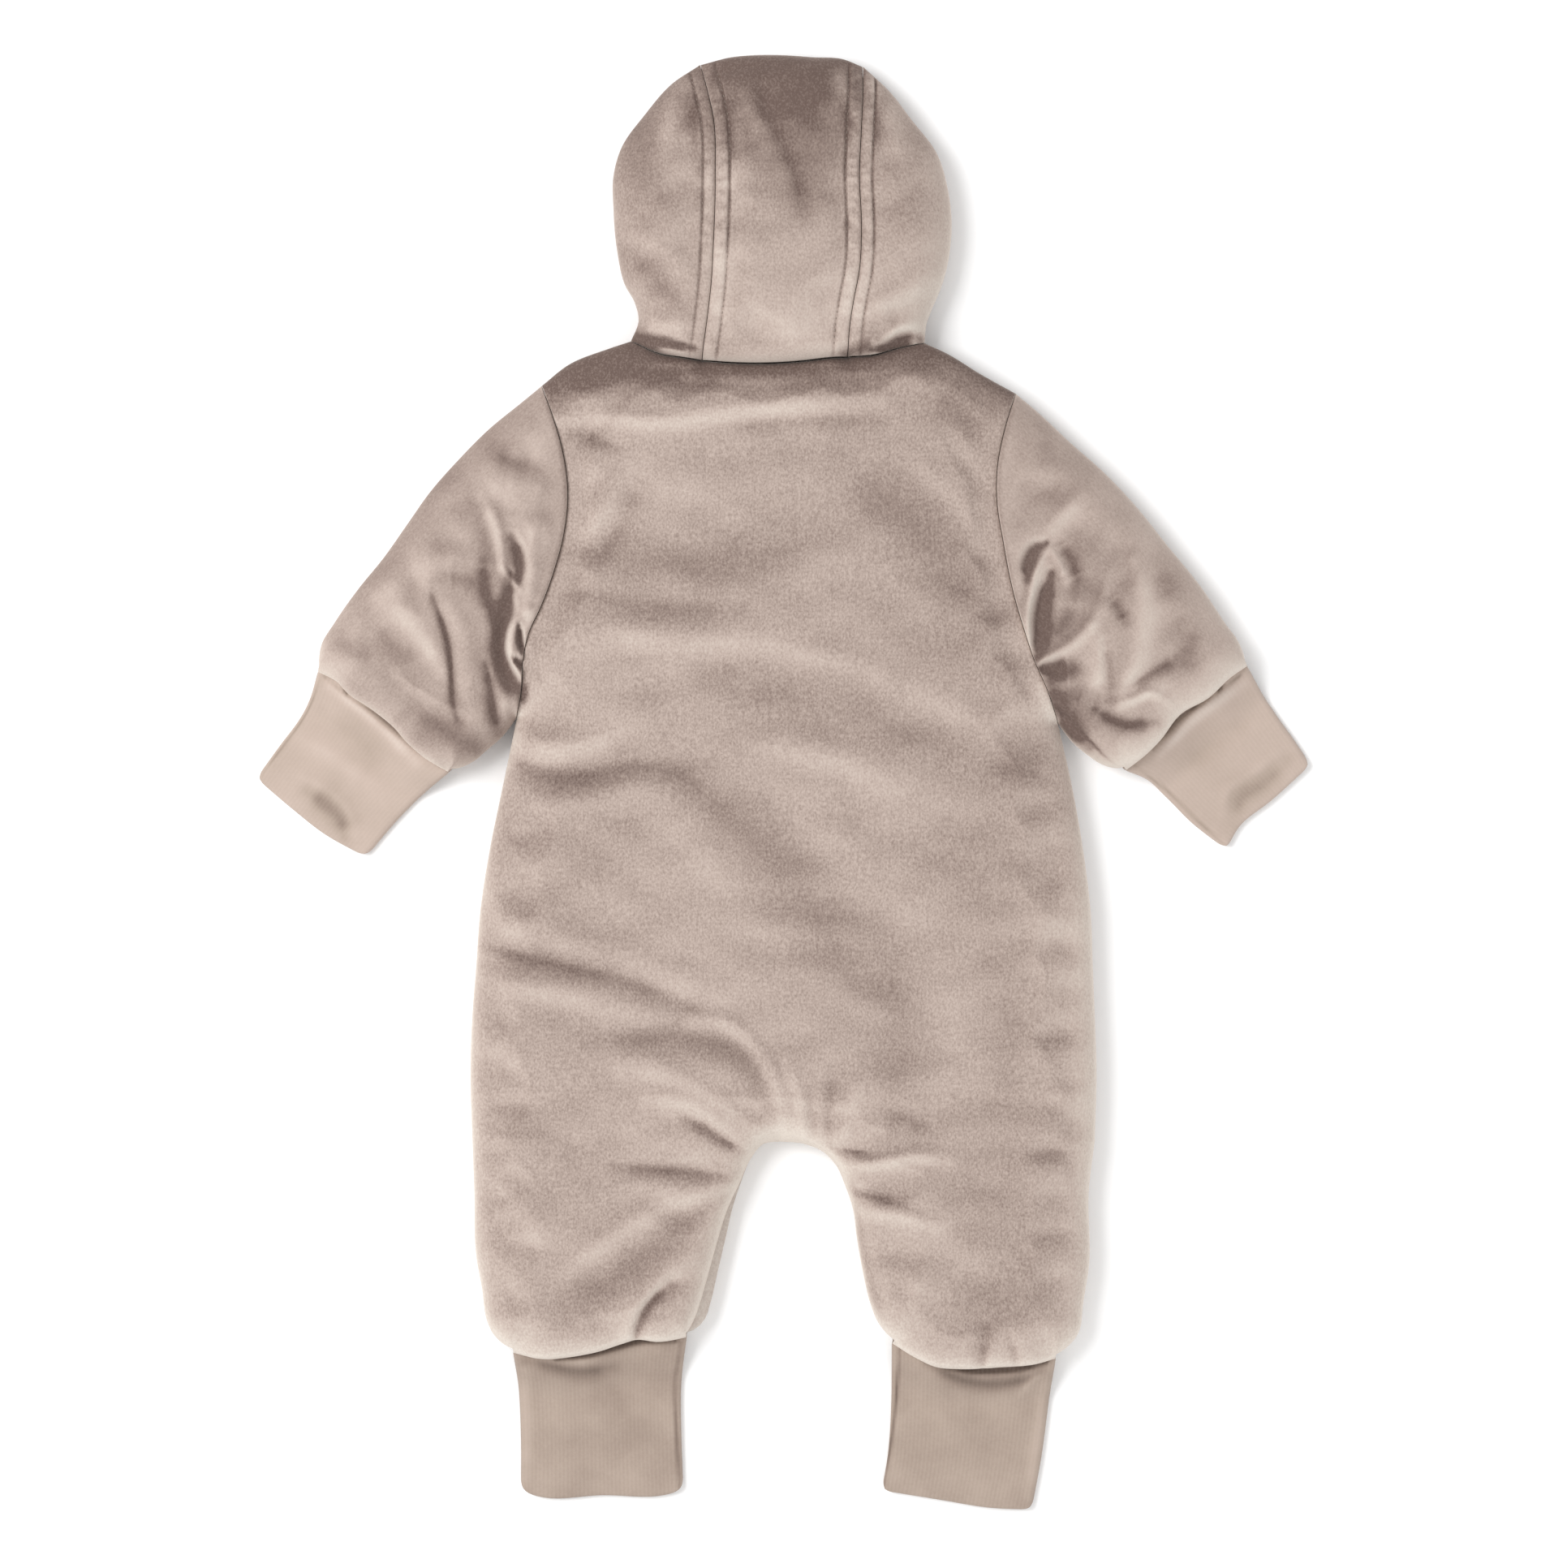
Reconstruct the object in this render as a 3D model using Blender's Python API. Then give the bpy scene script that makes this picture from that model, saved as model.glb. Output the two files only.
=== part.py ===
"""Padded velour pramsuit for a baby of about three months, laid flat on its front.

The back is up and the hood is spread above it. Frame: metres, +X to the viewer's right, +Y towards
the hood, +Z up, and z = 0 is the surface that the suit lies on. Tables and sizes are in millimetres.

Each cut piece is one closed body. The back is one panel with both legs' backs. Two front panels lie
under it and meet at the zip. A sleeve is one flattened tube with its underarm seam. The hood has two
side panels and a centre strip, folded round a face opening that looks down. Four double jersey cuffs
end the sleeves and the legs.
"""
from collections import namedtuple

import bmesh
import bpy
import numpy as np

MM = 0.001

# Thickness of the padded cloth as it lies, in mm above the surface
SEAM_LEVEL = 13.0        # where the back and front layers meet, at the side seams and folds
SEAM_CLOTH = 2.0         # cloth of one layer at its seam
SEAM_GAP = 0.4           # between two pieces at a seam
BACK_TOP = 27.5          # padded back panel, mid panel
SLEEVE_TOP = 30.0
HOOD_TOP = 35.0
HOOD_LINING = 21.0       # inner face of the hood's upper layer, at its crown
SLIT = 1.0               # between the layers of a flattened sleeve
SLIT_STEP = 4            # rows of a sleeve's cells to one of its slit

# Jersey cuffs
CUFF_THICK = 5.2         # a flattened cuff: two layers of doubled jersey
CUFF_SLIT = 1.2
CUFF_DROP = 26.0         # along the cuff, from its seam down to the surface

# Zip at the centre front, face down
ZIP_X = -1.0
ZIP_TOP = 205.0
ZIP_END = -118.0
ZIP_HALF = 5.0           # from the zip's middle to the front panels' edges
TAPE_LEVEL = (10.9, 12.5)
CHAIN_HALF = 2.4
CHAIN_SLOPE = 0.6
CHAIN_LEVEL = 9.6
SLIDER_LEVEL = (7.3, 9.3)
SLIDER_SIZE = (8.2, 11.0)
SLIDER_Y = 194.0
BRIDGE_SIZE = (3.6, 8.0)  # where the bridge stands on the slider
BRIDGE_CREST = (3.0, 7.0)
BRIDGE_LEVEL = 5.4
PULL_SIZE = (6.0, 26.0)
PULL_LEVEL = (3.9, 5.1)
PULL_OVERLAP = 3.0       # of the ribbon's end over the slider's middle

# ---------------------------------------------------------------- outline tables, rows of (x, y) in mm
# Every table of a side runs from the outer edge to the middle, or from the top down; the hood's
# edges and seams run from the neck to the crown
CROTCH = (-2, -185)
NECK_CENTER = ((-42, 218.6), (-36, 218), (-10, 217), (8, 218), (26, 220), (33, 220.4))
CROWN = ((-43, 372), (-27, 376), (-15, 377), (0, 377), (15, 376), (31, 375), (41, 371))
FACE_TOP = ((-38, 341), (-20, 337), (0, 336), (20, 337), (36, 341))
Side = namedtuple("Side", "near shoulder neck front_neck armhole flank leg hem back_inseam inseam "
                          "overarm underarm sleeve_hem hood_edge hood_seam face_edge")
LEFT = Side(
    near=1,
    shoulder=((-125, 206), (-111, 217), (-91, 225), (-79, 229)),
    neck=((-79, 229), (-64, 222), (-52, 220), NECK_CENTER[0]),
    front_neck=((-79, 229), (-64, 222), (-48, 214), (-30, 209), (-6, 207)),
    armhole=((-125, 206), (-118, 187), (-113, 168), (-111, 148), (-113, 129), (-118, 110),
             (-125, 91), (-131, 78), (-134, 64), (-135, 48), (-138, 34)),
    flank=((-138, 34), (-145, 0), (-152, -34), (-157, -67), (-159, -94), (-161, -120), (-162, -150),
           (-161, -183)),
    leg=((-161, -183), (-160, -210), (-159, -244), (-156, -261), (-153, -279), (-148, -288),
         (-140, -294)),
    hem=((-140, -294), (-124, -297), (-111, -296), (-95, -293), (-83, -289), (-76, -287),
         (-65, -288), (-50, -286)),
    back_inseam=(CROTCH, (-10, -186), (-17, -194), (-23, -207), (-29, -220), (-34, -236),
                 (-39, -254), (-43, -268), (-47, -280), (-50, -286)),
    inseam=(CROTCH, (-10, -186), (-17, -194), (-22, -206), (-26, -218), (-30, -235), (-34, -252),
            (-38, -269), (-42, -280), (-50, -286)),
    overarm=((-125, 206), (-136, 197), (-152, 184), (-168, 168), (-183, 151), (-195, 134),
             (-207, 117), (-220, 101), (-232, 84), (-240, 70), (-241, 58)),
    underarm=((-138, 34), (-145, 25), (-154, 17), (-164, 9), (-173, 6)),
    sleeve_hem=((-241, 58), (-231, 53), (-224, 46), (-212, 38), (-201, 29), (-194, 21), (-186, 14),
                (-173, 6)),
    hood_edge=((-79, 229), (-75, 240), (-77, 249), (-82, 258), (-86, 275), (-88, 297), (-88, 315),
               (-84, 329), (-72, 346), (-58, 362), (-44, 371.5)),
    hood_seam=(NECK_CENTER[0], (-39, 240), (-37, 258), (-36, 276), (-35, 312), (-36, 342),
               (-39, 356), CROWN[0]),
    face_edge=((-6, 207), (-28, 226), (-45, 247), (-54, 272), (-56, 298), (-50, 324), FACE_TOP[0]))
RIGHT = Side(
    near=-1,
    shoulder=((120, 202), (102, 212), (84, 223), (73, 228)),
    neck=((73, 228), (60, 225), (45, 221), NECK_CENTER[-1]),
    front_neck=((73, 228), (60, 225), (46, 216), (28, 209), (4, 207)),
    armhole=((120, 202), (114, 183), (110, 162), (110, 144), (113, 125), (117, 104), (123, 82),
             (129, 64), (136, 48), (142, 31)),
    flank=((142, 31), (149, 0), (155, -34), (159, -67), (160, -94), (161, -118), (162, -150),
           (161, -185)),
    leg=((161, -185), (158, -210), (158, -250), (155, -269), (153, -283), (148, -291), (141, -297)),
    hem=((141, -297), (128, -300), (113, -301), (91, -302), (79, -301), (66, -295), (56, -289)),
    back_inseam=(CROTCH, (10, -186), (20, -190), (27, -197), (32, -208), (36, -220), (38, -235),
                 (41, -252), (45, -269), (50, -281), (56, -289)),
    inseam=(CROTCH, (10, -186), (20, -190), (27, -197), (32, -208), (36, -220), (38, -235),
            (41, -252), (45, -269), (50, -281), (56, -289)),
    overarm=((120, 202), (132, 192), (148, 177), (166, 161), (183, 143), (199, 123), (216, 102),
             (228, 84), (238, 69), (240, 61)),
    underarm=((142, 31), (150, 21), (160, 13), (168, 8), (177, 7)),
    sleeve_hem=((240, 61), (231, 55), (219, 44), (205, 36), (194, 22), (187, 15), (177, 7)),
    hood_edge=((73, 228), (74, 238), (77, 246), (82, 258), (86, 275), (87, 292), (85, 308),
               (80, 325), (66, 344), (56, 357), (42, 370.4)),
    hood_seam=(NECK_CENTER[-1], (34, 235), (36, 248), (39, 264), (40, 288), (39, 312), (40, 336),
               (41, 360), CROWN[-1]),
    face_edge=((4, 207), (26, 226), (43, 247), (52, 272), (54, 298), (48, 324), FACE_TOP[-1]))
SIDES = {"left": LEFT, "right": RIGHT}

# Each cuff: its outer edge, its end and its inner edge; the fourth side is the hem it is sewn to
Cuff = namedtuple("Cuff", "outer end inner")
SLEEVE_CUFFS = {
    "left": Cuff(((-241, 58), (-245, 46), (-252, 33), (-261, 21), (-274, 3)),
                 ((-274, 3), (-254, -14), (-240, -25), (-217, -38)),
                 ((-173, 6), (-189, -7), (-199, -17), (-217, -38))),
    "right": Cuff(((240, 61), (248, 48), (256, 36), (266, 22), (274, 10)),
                  ((274, 10), (253, -9), (237, -22), (230, -34)),
                  ((177, 7), (189, 2), (199, -7), (212, -20), (230, -34)))}
LEG_CUFFS = {
    "left": Cuff(((-140, -294), (-138, -310), (-136, -340), (-136, -367)),
                 ((-136, -367), (-122, -370), (-94, -370), (-56, -369), (-52, -367)),
                 ((-50, -286), (-53, -310), (-53, -340), (-52, -367))),
    "right": Cuff(((141, -297), (138, -320), (134, -350), (129, -377)),
                  ((129, -377), (107, -376), (82, -372), (51, -367)),
                  ((56, -289), (56, -321), (54, -350), (51, -367)))}

# Largest folds and creases of the cloth that show: width and height in mm (a trough is negative),
# and the path that the fold follows
Fold = namedtuple("Fold", "piece width height path")
FOLDS = (
    Fold("back", 9, 2.7, ((-114, 189), (-69, 187), (-41, 192), (15, 196), (49, 198))),
    Fold("back", 7, -2.2, ((-110, 181), (-78, 173))),
    Fold("back", 8, 3.0, ((-84, 162), (-97, 136), (-106, 117))),
    Fold("back", 8, -2.4, ((-82, 131), (-104, 111))),
    Fold("back", 9, -2.7, ((-97, 95), (-41, 91))),
    Fold("back", 8, 2.3, ((-108, 89), (-41, 78))),
    Fold("back", 12, 1.6, ((-75, 142), (-68, 140))),
    Fold("back", 10, -2.4, ((58, 159), (87, 136))),
    Fold("back", 12, -2.0, ((88, 112), (94, 106))),
    Fold("back", 12, -2.7, ((34, 50), (90, 30))),
    Fold("back", 12, 2.0, ((-118, 19), (-108, 20))),
    Fold("back", 7, -4.1, ((-134, 9), (-97, 11), (-50, 14))),
    Fold("back", 14, 2.7, ((-122, -78), (-105, -82))),
    Fold("back", 7, -5.4, ((-152, -88), (-116, -96), (-76, -100), (-52, -109))),
    Fold("back", 8, 3.4, ((-142, -107), (-90, -117))),
    Fold("back", 8, -4.3, ((-106, -128), (-63, -132), (-23, -136), (-9, -155), (3, -172))),
    Fold("back", 7, 4.1, ((-76, -150), (-42, -166), (-18, -180))),
    Fold("back", 5, -2.7, ((-60, -190), (-42, -198))),
    Fold("back", 14, -2.2, ((-88, -202), (-78, -204))),
    Fold("back", 7, 3.4, ((-27, -126), (-7, -145), (7, -168))),
    Fold("back", 5, -3.0, ((20, -176), (26, -142))),
    Fold("back", 5, -3.2, ((29, -188), (42, -188))),
    Fold("back", 5, 4.1, ((36, -200), (56, -197))),
    Fold("back", 5, -3.4, ((43, -211), (55, -214))),
    Fold("back", 14, -2.2, ((104, -133), (112, -137))),
    Fold("back", 12, -2.2, ((146, -190), (150, -200))),
    Fold("back", 4, -4.3, ((-76, -283), (-73, -274), (-68, -268), (-60, -262))),
    Fold("back", 10, -2.7, ((-86, -266), (-62, -250))),
    Fold("back", 4, -3.5, ((105, -282), (104, -295))),
    Fold("back", 4, -3.0, ((122, -284), (122, -294))),
    Fold("back", 12, -2.7, ((116, -273), (124, -275))),
    Fold("sleeve_left", 6, 3.5, ((-129, 131), (-134, 92))),
    Fold("sleeve_left", 12, -2.7, ((-162, 118), (-158, 110))),
    Fold("sleeve_left", 6, -4.1, ((-176, 87), (-170, 50))),
    Fold("sleeve_left", 6, 3.4, ((-166, 91), (-160, 54))),
    Fold("sleeve_left", 5, -3.2, ((-151, 51), (-151, 31))),
    Fold("sleeve_left", 12, -2.2, ((-202, 72), (-196, 68))),
    Fold("sleeve_left", 5, -4.6, ((-141, 126), (-139, 96), (-144, 85), (-145, 73), (-141, 60))),
    Fold("sleeve_right", 6, -3.5, ((123, 122), (124, 102))),
    Fold("sleeve_right", 5, 4.1, ((137, 124), (130, 102), (133, 74))),
    Fold("sleeve_right", 4, -5.4, ((140, 109), (135, 97), (134, 79), (134, 64))),
    Fold("sleeve_right", 6, 3.8, ((140, 67), (150, 71), (165, 84))),
    Fold("sleeve_right", 5, -3.5, ((141, 60), (150, 58))),
    Fold("sleeve_right", 9, 4.1, ((187, 110), (191, 87), (182, 57))),
    Fold("sleeve_right", 7, -3.4, ((177, 100), (177, 86))),
    Fold("sleeve_right", 6, -3.2, ((181, 52), (190, 62))),
    Fold("sleeve_right", 6, -3.2, ((172, 34), (189, 32))),
    Fold("hood", 4, -2.7, ((-34, 364), (-12, 367))),
    Fold("hood", 10, -3.5, ((-11, 356), (8, 288))),
    Fold("hood", 4, -4.1, ((-76, 232), (-66, 231), (-48, 227))),
    Fold("hood", 5, -5.4, ((47, 228), (69, 231))),
)

# How a padded layer rounds off towards each of its edges: the share of its height that it keeps at
# the edge, and the width in mm over which it falls to that
Round = namedtuple("Round", "lift radius")
BACK_ROUND = {"shoulder": Round(0, 22), "neck": Round(0.5, 10), "armhole": Round(0.62, 9),
              "flank": Round(0, 24), "inseam": Round(0, 20), "hem": Round(0, 13)}
FRONT_ROUND = {"shoulder": Round(0, 18), "neck": Round(0.4, 8), "armhole": Round(0.7, 7),
               "flank": Round(0, 20), "inseam": Round(0, 16), "hem": Round(0, 11),
               "zip": Round(0, 10)}
SLEEVE_ROUND = {"overarm": Round(0, 26), "underarm": Round(0, 18), "armhole": Round(0.5, 9),
                "hem": Round(0, 14)}
SLEEVE_UNDER_ROUND = {"overarm": Round(0, 20), "underarm": Round(0, 14), "armhole": Round(0.7, 7),
                      "hem": Round(0, 11)}
HOOD_ROUND = {"outline": Round(0, 34), "neck": Round(0.32, 16), "seam": Round(0.9, 4)}
HOOD_UNDER_ROUND = {"outline": Round(0, 20), "face": Round(0.5, 6), "neck": Round(0.6, 6)}
CUFF_ROUND = Round(0.45, 3.5)

# Spread of the cells over a piece: shares of its width or length, close together where it rounds
# off. Two pieces that meet at a seam share its points.
BACK_ACROSS = (0, .014, .05, .11, .19, .28, .37, .46, .55, .64, .73, .80, .86, .91, .955, .988, 1)
FRONT_ACROSS = (0, .02, .07, .15, .28, .42, .56, .70, .82, .91, .98, 1)
SHOULDER_ALONG = (0, .12, .35, .65, 1)
TUBE_ACROSS = (0, .014, .05, .12, .22, .34, .46, .58, .70, .80, .89, .95, .986, 1)
TUBE_UNDER = (0, .03, .11, .24, .40, .56, .72, .87, .97, 1)
TUBE_DOWN = (0, .02, .06, .12, .19, .26, .33, .40, .47, .54, .61, .68, .75, .82, .885, .935, .97, .99, 1)
ARMHOLE_SHARE = 0.44
FLANK_ROWS = 22
FRONT_FLANK_ROWS = 12
LEG_ROWS = (0, .09, .18, .28, .38, .48, .58, .68, .77, .85, .91, .96, .987, 1)
FRONT_LEG_ROWS = (0, .2, .4, .6, .78, .9, .97, 1)
CUFF_DOWN = (0, .12, .25, .42, .7, 1)
HOOD_ACROSS = (0, .08, .24, .42, .60, .76, .88, .97, 1)
HOOD_UNDER = (0, .03, .12, .28, .52, .76, .92, 1)
HOOD_DOWN = (0, .015, .045, .09, .15, .22, .29, .36, .43, .50, .57, .64, .71, .78, .85, .92, .97, 1)
STRIP_ACROSS = (0, .06, .18, .34, .5, .66, .82, .94, 1)

# Finishes: linear base colour, roughness, metallic
Finish = namedtuple("Finish", "colour roughness metallic")
FINISHES = {
    "velour": Finish((0.491, 0.397, 0.342), 0.95, 0.0),
    "jersey": Finish((0.521, 0.402, 0.328), 0.9, 0.0),
    "zip tape": Finish((0.42, 0.33, 0.28), 0.8, 0.0),
    "slider plastic": Finish((0.38, 0.30, 0.25), 0.4, 0.0),
}


# ---------------------------------------------------------------- curves in plan
def smooth(points, steps=8):
    """Points of a smooth curve through the given ones, with tangents read from the neighbours."""
    points = np.array(points, float)
    chords = np.linalg.norm(np.diff(points, axis=0), axis=1)
    slopes = np.diff(points, axis=0) / chords[:, None]
    tangents = np.vstack([slopes[:1], np.zeros((len(points) - 2, 2)), slopes[-1:]])
    for k in range(1, len(points) - 1):
        before, after = chords[k - 1], chords[k]
        tangents[k] = (slopes[k - 1] * after + slopes[k] * before) / (before + after)
    curve = []
    for k, chord in enumerate(chords):
        for t in np.arange(steps) / steps:
            start = (1 + 2 * t) * (1 - t) ** 2 * points[k] + t * (1 - t) ** 2 * chord * tangents[k]
            end = t * t * (3 - 2 * t) * points[k + 1] - t * t * (1 - t) * chord * tangents[k + 1]
            curve.append(start + end)
    return np.array(curve + [points[-1]])


def shares(points):
    """Share of a row's length at each of its points."""
    lengths = np.linalg.norm(np.diff(points, axis=0), axis=1)
    return np.concatenate([[0.0], np.cumsum(lengths)]) / max(lengths.sum(), 1e-9)


def sample(curve, fractions):
    """Points of a curve at the given shares of its length."""
    along = shares(curve)
    return np.column_stack([np.interp(fractions, along, curve[:, k]) for k in (0, 1)])


def aside(curve, distance):
    """A curve moved sideways by a distance, to the right of the way it runs."""
    way = np.gradient(curve, axis=0)
    way /= np.linalg.norm(way, axis=1)[:, None]
    return curve + distance * np.column_stack([way[:, 1], -way[:, 0]])


def seam(table, fractions, offset=0.0):
    """Points of a seam or edge at the given shares of its length, moved sideways."""
    points = sample(smooth(table), fractions)
    return aside(points, offset) if offset else points


def patch(top, bottom, left, right, across, down):
    """Plan points [row][column] inside four rows of edge points that meet at the corners."""
    u, v = np.array(across)[None, :, None], np.array(down)[:, None, None]
    ruled = (1 - v) * top[None] + v * bottom[None]
    ruled = ruled + (1 - u) * left[:, None] + u * right[:, None]
    corners = (1 - v) * ((1 - u) * left[0] + u * right[0])
    corners = corners + v * ((1 - u) * left[-1] + u * right[-1])
    return ruled - corners


def distance(points, curve):
    """Distance in plan from each point to a curve."""
    flat = points.reshape(-1, 1, 2)
    start, step = curve[:-1][None], np.diff(curve, axis=0)[None]
    share = ((flat - start) * step).sum(2) / np.maximum((step ** 2).sum(2), 1e-9)
    nearest = start + np.clip(share, 0, 1)[..., None] * step
    gaps = np.linalg.norm(flat - nearest, axis=2)
    return gaps.min(axis=1).reshape(points.shape[:-1])


# ---------------------------------------------------------------- heights of the padded cloth
def rounded(edges, rounds):
    """Pairs of an edge's curve and its rounding, for the edges that the table names."""
    return [(curve, rounds[name]) for name, curve in edges.items()]


def fullness(points, edges):
    """Share of the padding's height: 1 mid piece, an edge's lift at that edge, rounded between."""
    share = np.ones(points.shape[:-1])
    for curve, (lift, radius) in edges:
        near = np.clip(distance(points, curve) / radius, 0, 1)
        share = share * (lift + (1 - lift) * np.sqrt(1 - (1 - near) ** 2))
    return share


def folds_at(points, piece):
    """Sum of the piece's ridges and troughs."""
    total = np.zeros(points.shape[:-1])
    for fold in FOLDS:
        if fold.piece == piece:
            gap = distance(points, smooth(fold.path))
            total = total + fold.height * np.exp(-(gap / fold.width) ** 2)
    return total


def raised(points, edges, height, piece=None):
    """Height of a layer's upper face, with the piece's folds fading out at its edges."""
    share = fullness(points, edges)
    low = SEAM_LEVEL + SEAM_GAP / 2 + SEAM_CLOTH
    level = low + (height - low) * share
    if piece:
        level = level + folds_at(points, piece) * np.clip(share * 1.2 - 0.2, 0, 1)
    return np.dstack([points, level])


def lowered(points, edges):
    """Height of a layer's lower face: flat on the surface, rising towards its edges."""
    high = SEAM_LEVEL - SEAM_GAP / 2 - SEAM_CLOTH
    level = high * (1 - fullness(points, edges))
    return np.dstack([points, np.where(level < 0.02, 0.0, level)])


def at_level(points, level):
    """Plan points at one height, or at a height for each."""
    return np.dstack([points, np.broadcast_to(level, points.shape[:-1])])


# ---------------------------------------------------------------- making bodies
def material(name):
    found = bpy.data.materials.get(name)
    if found:
        return found
    finish = FINISHES[name]
    found = bpy.data.materials.new(name)
    found.use_nodes = True
    shader = found.node_tree.nodes["Principled BSDF"]
    shader.inputs["Base Color"].default_value = (*finish.colour, 1)
    shader.inputs["Roughness"].default_value = finish.roughness
    shader.inputs["Metallic"].default_value = finish.metallic
    found.diffuse_color = (*finish.colour, 1)
    return found


def add_object(name, shape, finish):
    """Turn a bmesh in millimetres into a named object in metres."""
    shape.normal_update()
    bmesh.ops.triangulate(shape, faces=[face for face in shape.faces if len(face.verts) > 4])
    bmesh.ops.scale(shape, vec=(MM, MM, MM), verts=shape.verts)
    bmesh.ops.recalc_face_normals(shape, faces=shape.faces)
    mesh = bpy.data.meshes.new(name)
    shape.to_mesh(mesh)
    shape.free()
    mesh.materials.append(material(finish))
    mesh.shade_smooth()
    mesh.set_sharp_from_angle(angle=0.9)
    bpy.context.scene.collection.objects.link(bpy.data.objects.new(name, mesh))


def skin(shape, rows, closed=False):
    """Faces over rows of vertices, joined round if closed."""
    count = len(rows[0])
    for upper, lower in zip(rows, rows[1:]):
        for k in range(count if closed else count - 1):
            after = (k + 1) % count
            shape.faces.new((upper[k], lower[k], lower[after], upper[after]))


def stitch(shape, first, second, first_shares, second_shares):
    """Triangles between two rows of vertices, each with its share along the seam."""
    i = j = 0
    while i < len(first) - 1 or j < len(second) - 1:
        first_next = i < len(first) - 1
        if first_next and j < len(second) - 1:
            first_next = first_shares[i + 1] <= second_shares[j + 1]
        if first_next:
            shape.faces.new((first[i], first[i + 1], second[j]))
            i += 1
        else:
            shape.faces.new((first[i], second[j + 1], second[j]))
            j += 1


def sheets_of(shape, outer, inner, closed):
    """Rows of vertices of an outer and an inner sheet, with their faces."""
    sheets = []
    for sheet in (outer, inner):
        rows = [[shape.verts.new(point) for point in row] for row in sheet]
        skin(shape, rows, closed)
        sheets.append(rows)
    return sheets


def tube(name, outer_faces, inner_faces, outer_shares, inner_shares, finish):
    """A flattened tube: its upper and under faces outside, and those of the slit inside."""
    shape = bmesh.new()
    loops = [np.concatenate([upper, under[:, ::-1]], axis=1)
             for upper, under in (outer_faces, inner_faces)]
    keys = [list(upper) + [2 - share for share in under[::-1]] + [2 + upper[0]]
            for upper, under in (outer_shares, inner_shares)]
    outer, inner = sheets_of(shape, *loops, closed=True)
    for end in (0, -1):
        stitch(shape, outer[end] + outer[end][:1], inner[end] + inner[end][:1], *keys)
    add_object(name, shape, finish)


def folded_wall(name, outer_layers, inner_layers, outer_shares, inner_shares, finish):
    """A wall folded at one edge: its upper and under layers outside, and the same inside."""
    shape = bmesh.new()
    outer, inner = sheets_of(shape, np.concatenate(outer_layers, axis=1),
                             np.concatenate(inner_layers, axis=1), closed=False)
    keys = [list(upper) + [1 + share for share in under]
            for upper, under in (outer_shares, inner_shares)]
    turn, inner_turn = len(outer_shares[0]), len(inner_shares[0])
    for end in (0, -1):
        first, second = outer[end], inner[end]
        stitch(shape, first[:turn + 1], second[:inner_turn + 1], keys[0], keys[1])
        stitch(shape, first[turn:], second[inner_turn:], keys[0][turn:], keys[1][inner_turn:])
    for side in (0, -1):
        skin(shape, [[row[side] for row in outer], [row[side] for row in inner]])
    add_object(name, shape, finish)


def panel(name, sheets, level, finish):
    """One body with a padded face made of sheets of points and a flat face at one level."""
    shape = bmesh.new()
    for sheet in sheets:
        skin(shape, [[shape.verts.new(point) for point in row] for row in sheet])
    bmesh.ops.remove_doubles(shape, verts=shape.verts, dist=0.01)
    rim = [edge for edge in shape.edges if edge.is_boundary]
    lip = bmesh.ops.extrude_edge_only(shape, edges=rim)["geom"]
    for vert in (item for item in lip if isinstance(item, bmesh.types.BMVert)):
        vert.co.z = level
    loop = [item for item in lip if isinstance(item, bmesh.types.BMEdge) and item.is_boundary]
    bmesh.ops.contextual_create(shape, geom=loop)
    add_object(name, shape, finish)


# ---------------------------------------------------------------- the pieces
INSET = SEAM_GAP / 2


def run(*rows):
    """One row of edge points from several that follow each other."""
    return np.vstack([rows[0]] + [row[1:] for row in rows[1:]])


def ended(points, first=None, last=None):
    """The same points with their ends moved to where the neighbouring edges end."""
    points = points.copy()
    if first is not None:
        points[0] = first
    if last is not None:
        points[-1] = last
    return points


def body_rows(armhole_shares, flank_rows):
    """Shares down a body panel: its armhole's points, then even rows down to the crotch."""
    below = np.linspace(ARMHOLE_SHARE, 1, flank_rows)
    return run(np.array(armhole_shares)[:, None] * ARMHOLE_SHARE, below[:, None])[:, 0]


def back_half(side, neck_middle):
    """Plan of the back's half: shoulder to crotch, then the leg; and its edges."""
    near = side.near
    armhole = seam(side.armhole, TUBE_ACROSS, -near * INSET)
    neck = seam(side.neck, 1 - np.array(HOOD_ACROSS)[::-1], near * INSET)
    half_strip = np.array(STRIP_ACROSS[:5]) if near > 0 else np.array(STRIP_ACROSS[:3:-1])
    center = sample(aside(smooth(NECK_CENTER), INSET), half_strip)
    shoulder = ended(seam(side.shoulder, SHOULDER_ALONG), armhole[0], neck[0])
    top = ended(run(shoulder, neck, center), last=neck_middle)
    flank = ended(seam(side.flank, np.linspace(0, 1, FLANK_ROWS)), armhole[-1])
    down = body_rows(TUBE_ACROSS, FLANK_ROWS)
    middle = sample(np.array([neck_middle, CROTCH]), down)
    level = sample(np.array([side.flank[-1], CROTCH]), BACK_ACROSS)
    hem = seam(side.hem, BACK_ACROSS, -near * INSET)
    leg = ended(seam(side.leg, LEG_ROWS), last=hem[0])
    inseam = ended(seam(side.back_inseam, LEG_ROWS), last=hem[-1])
    sheets = [patch(top, level, run(armhole, flank), middle, BACK_ACROSS, down),
              patch(level, hem, leg, inseam, BACK_ACROSS, LEG_ROWS)]
    edges = {"shoulder": shoulder, "neck": run(neck, center), "armhole": armhole,
             "flank": run(flank, leg), "inseam": inseam, "hem": hem}
    return sheets, rounded(edges, BACK_ROUND)


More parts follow.
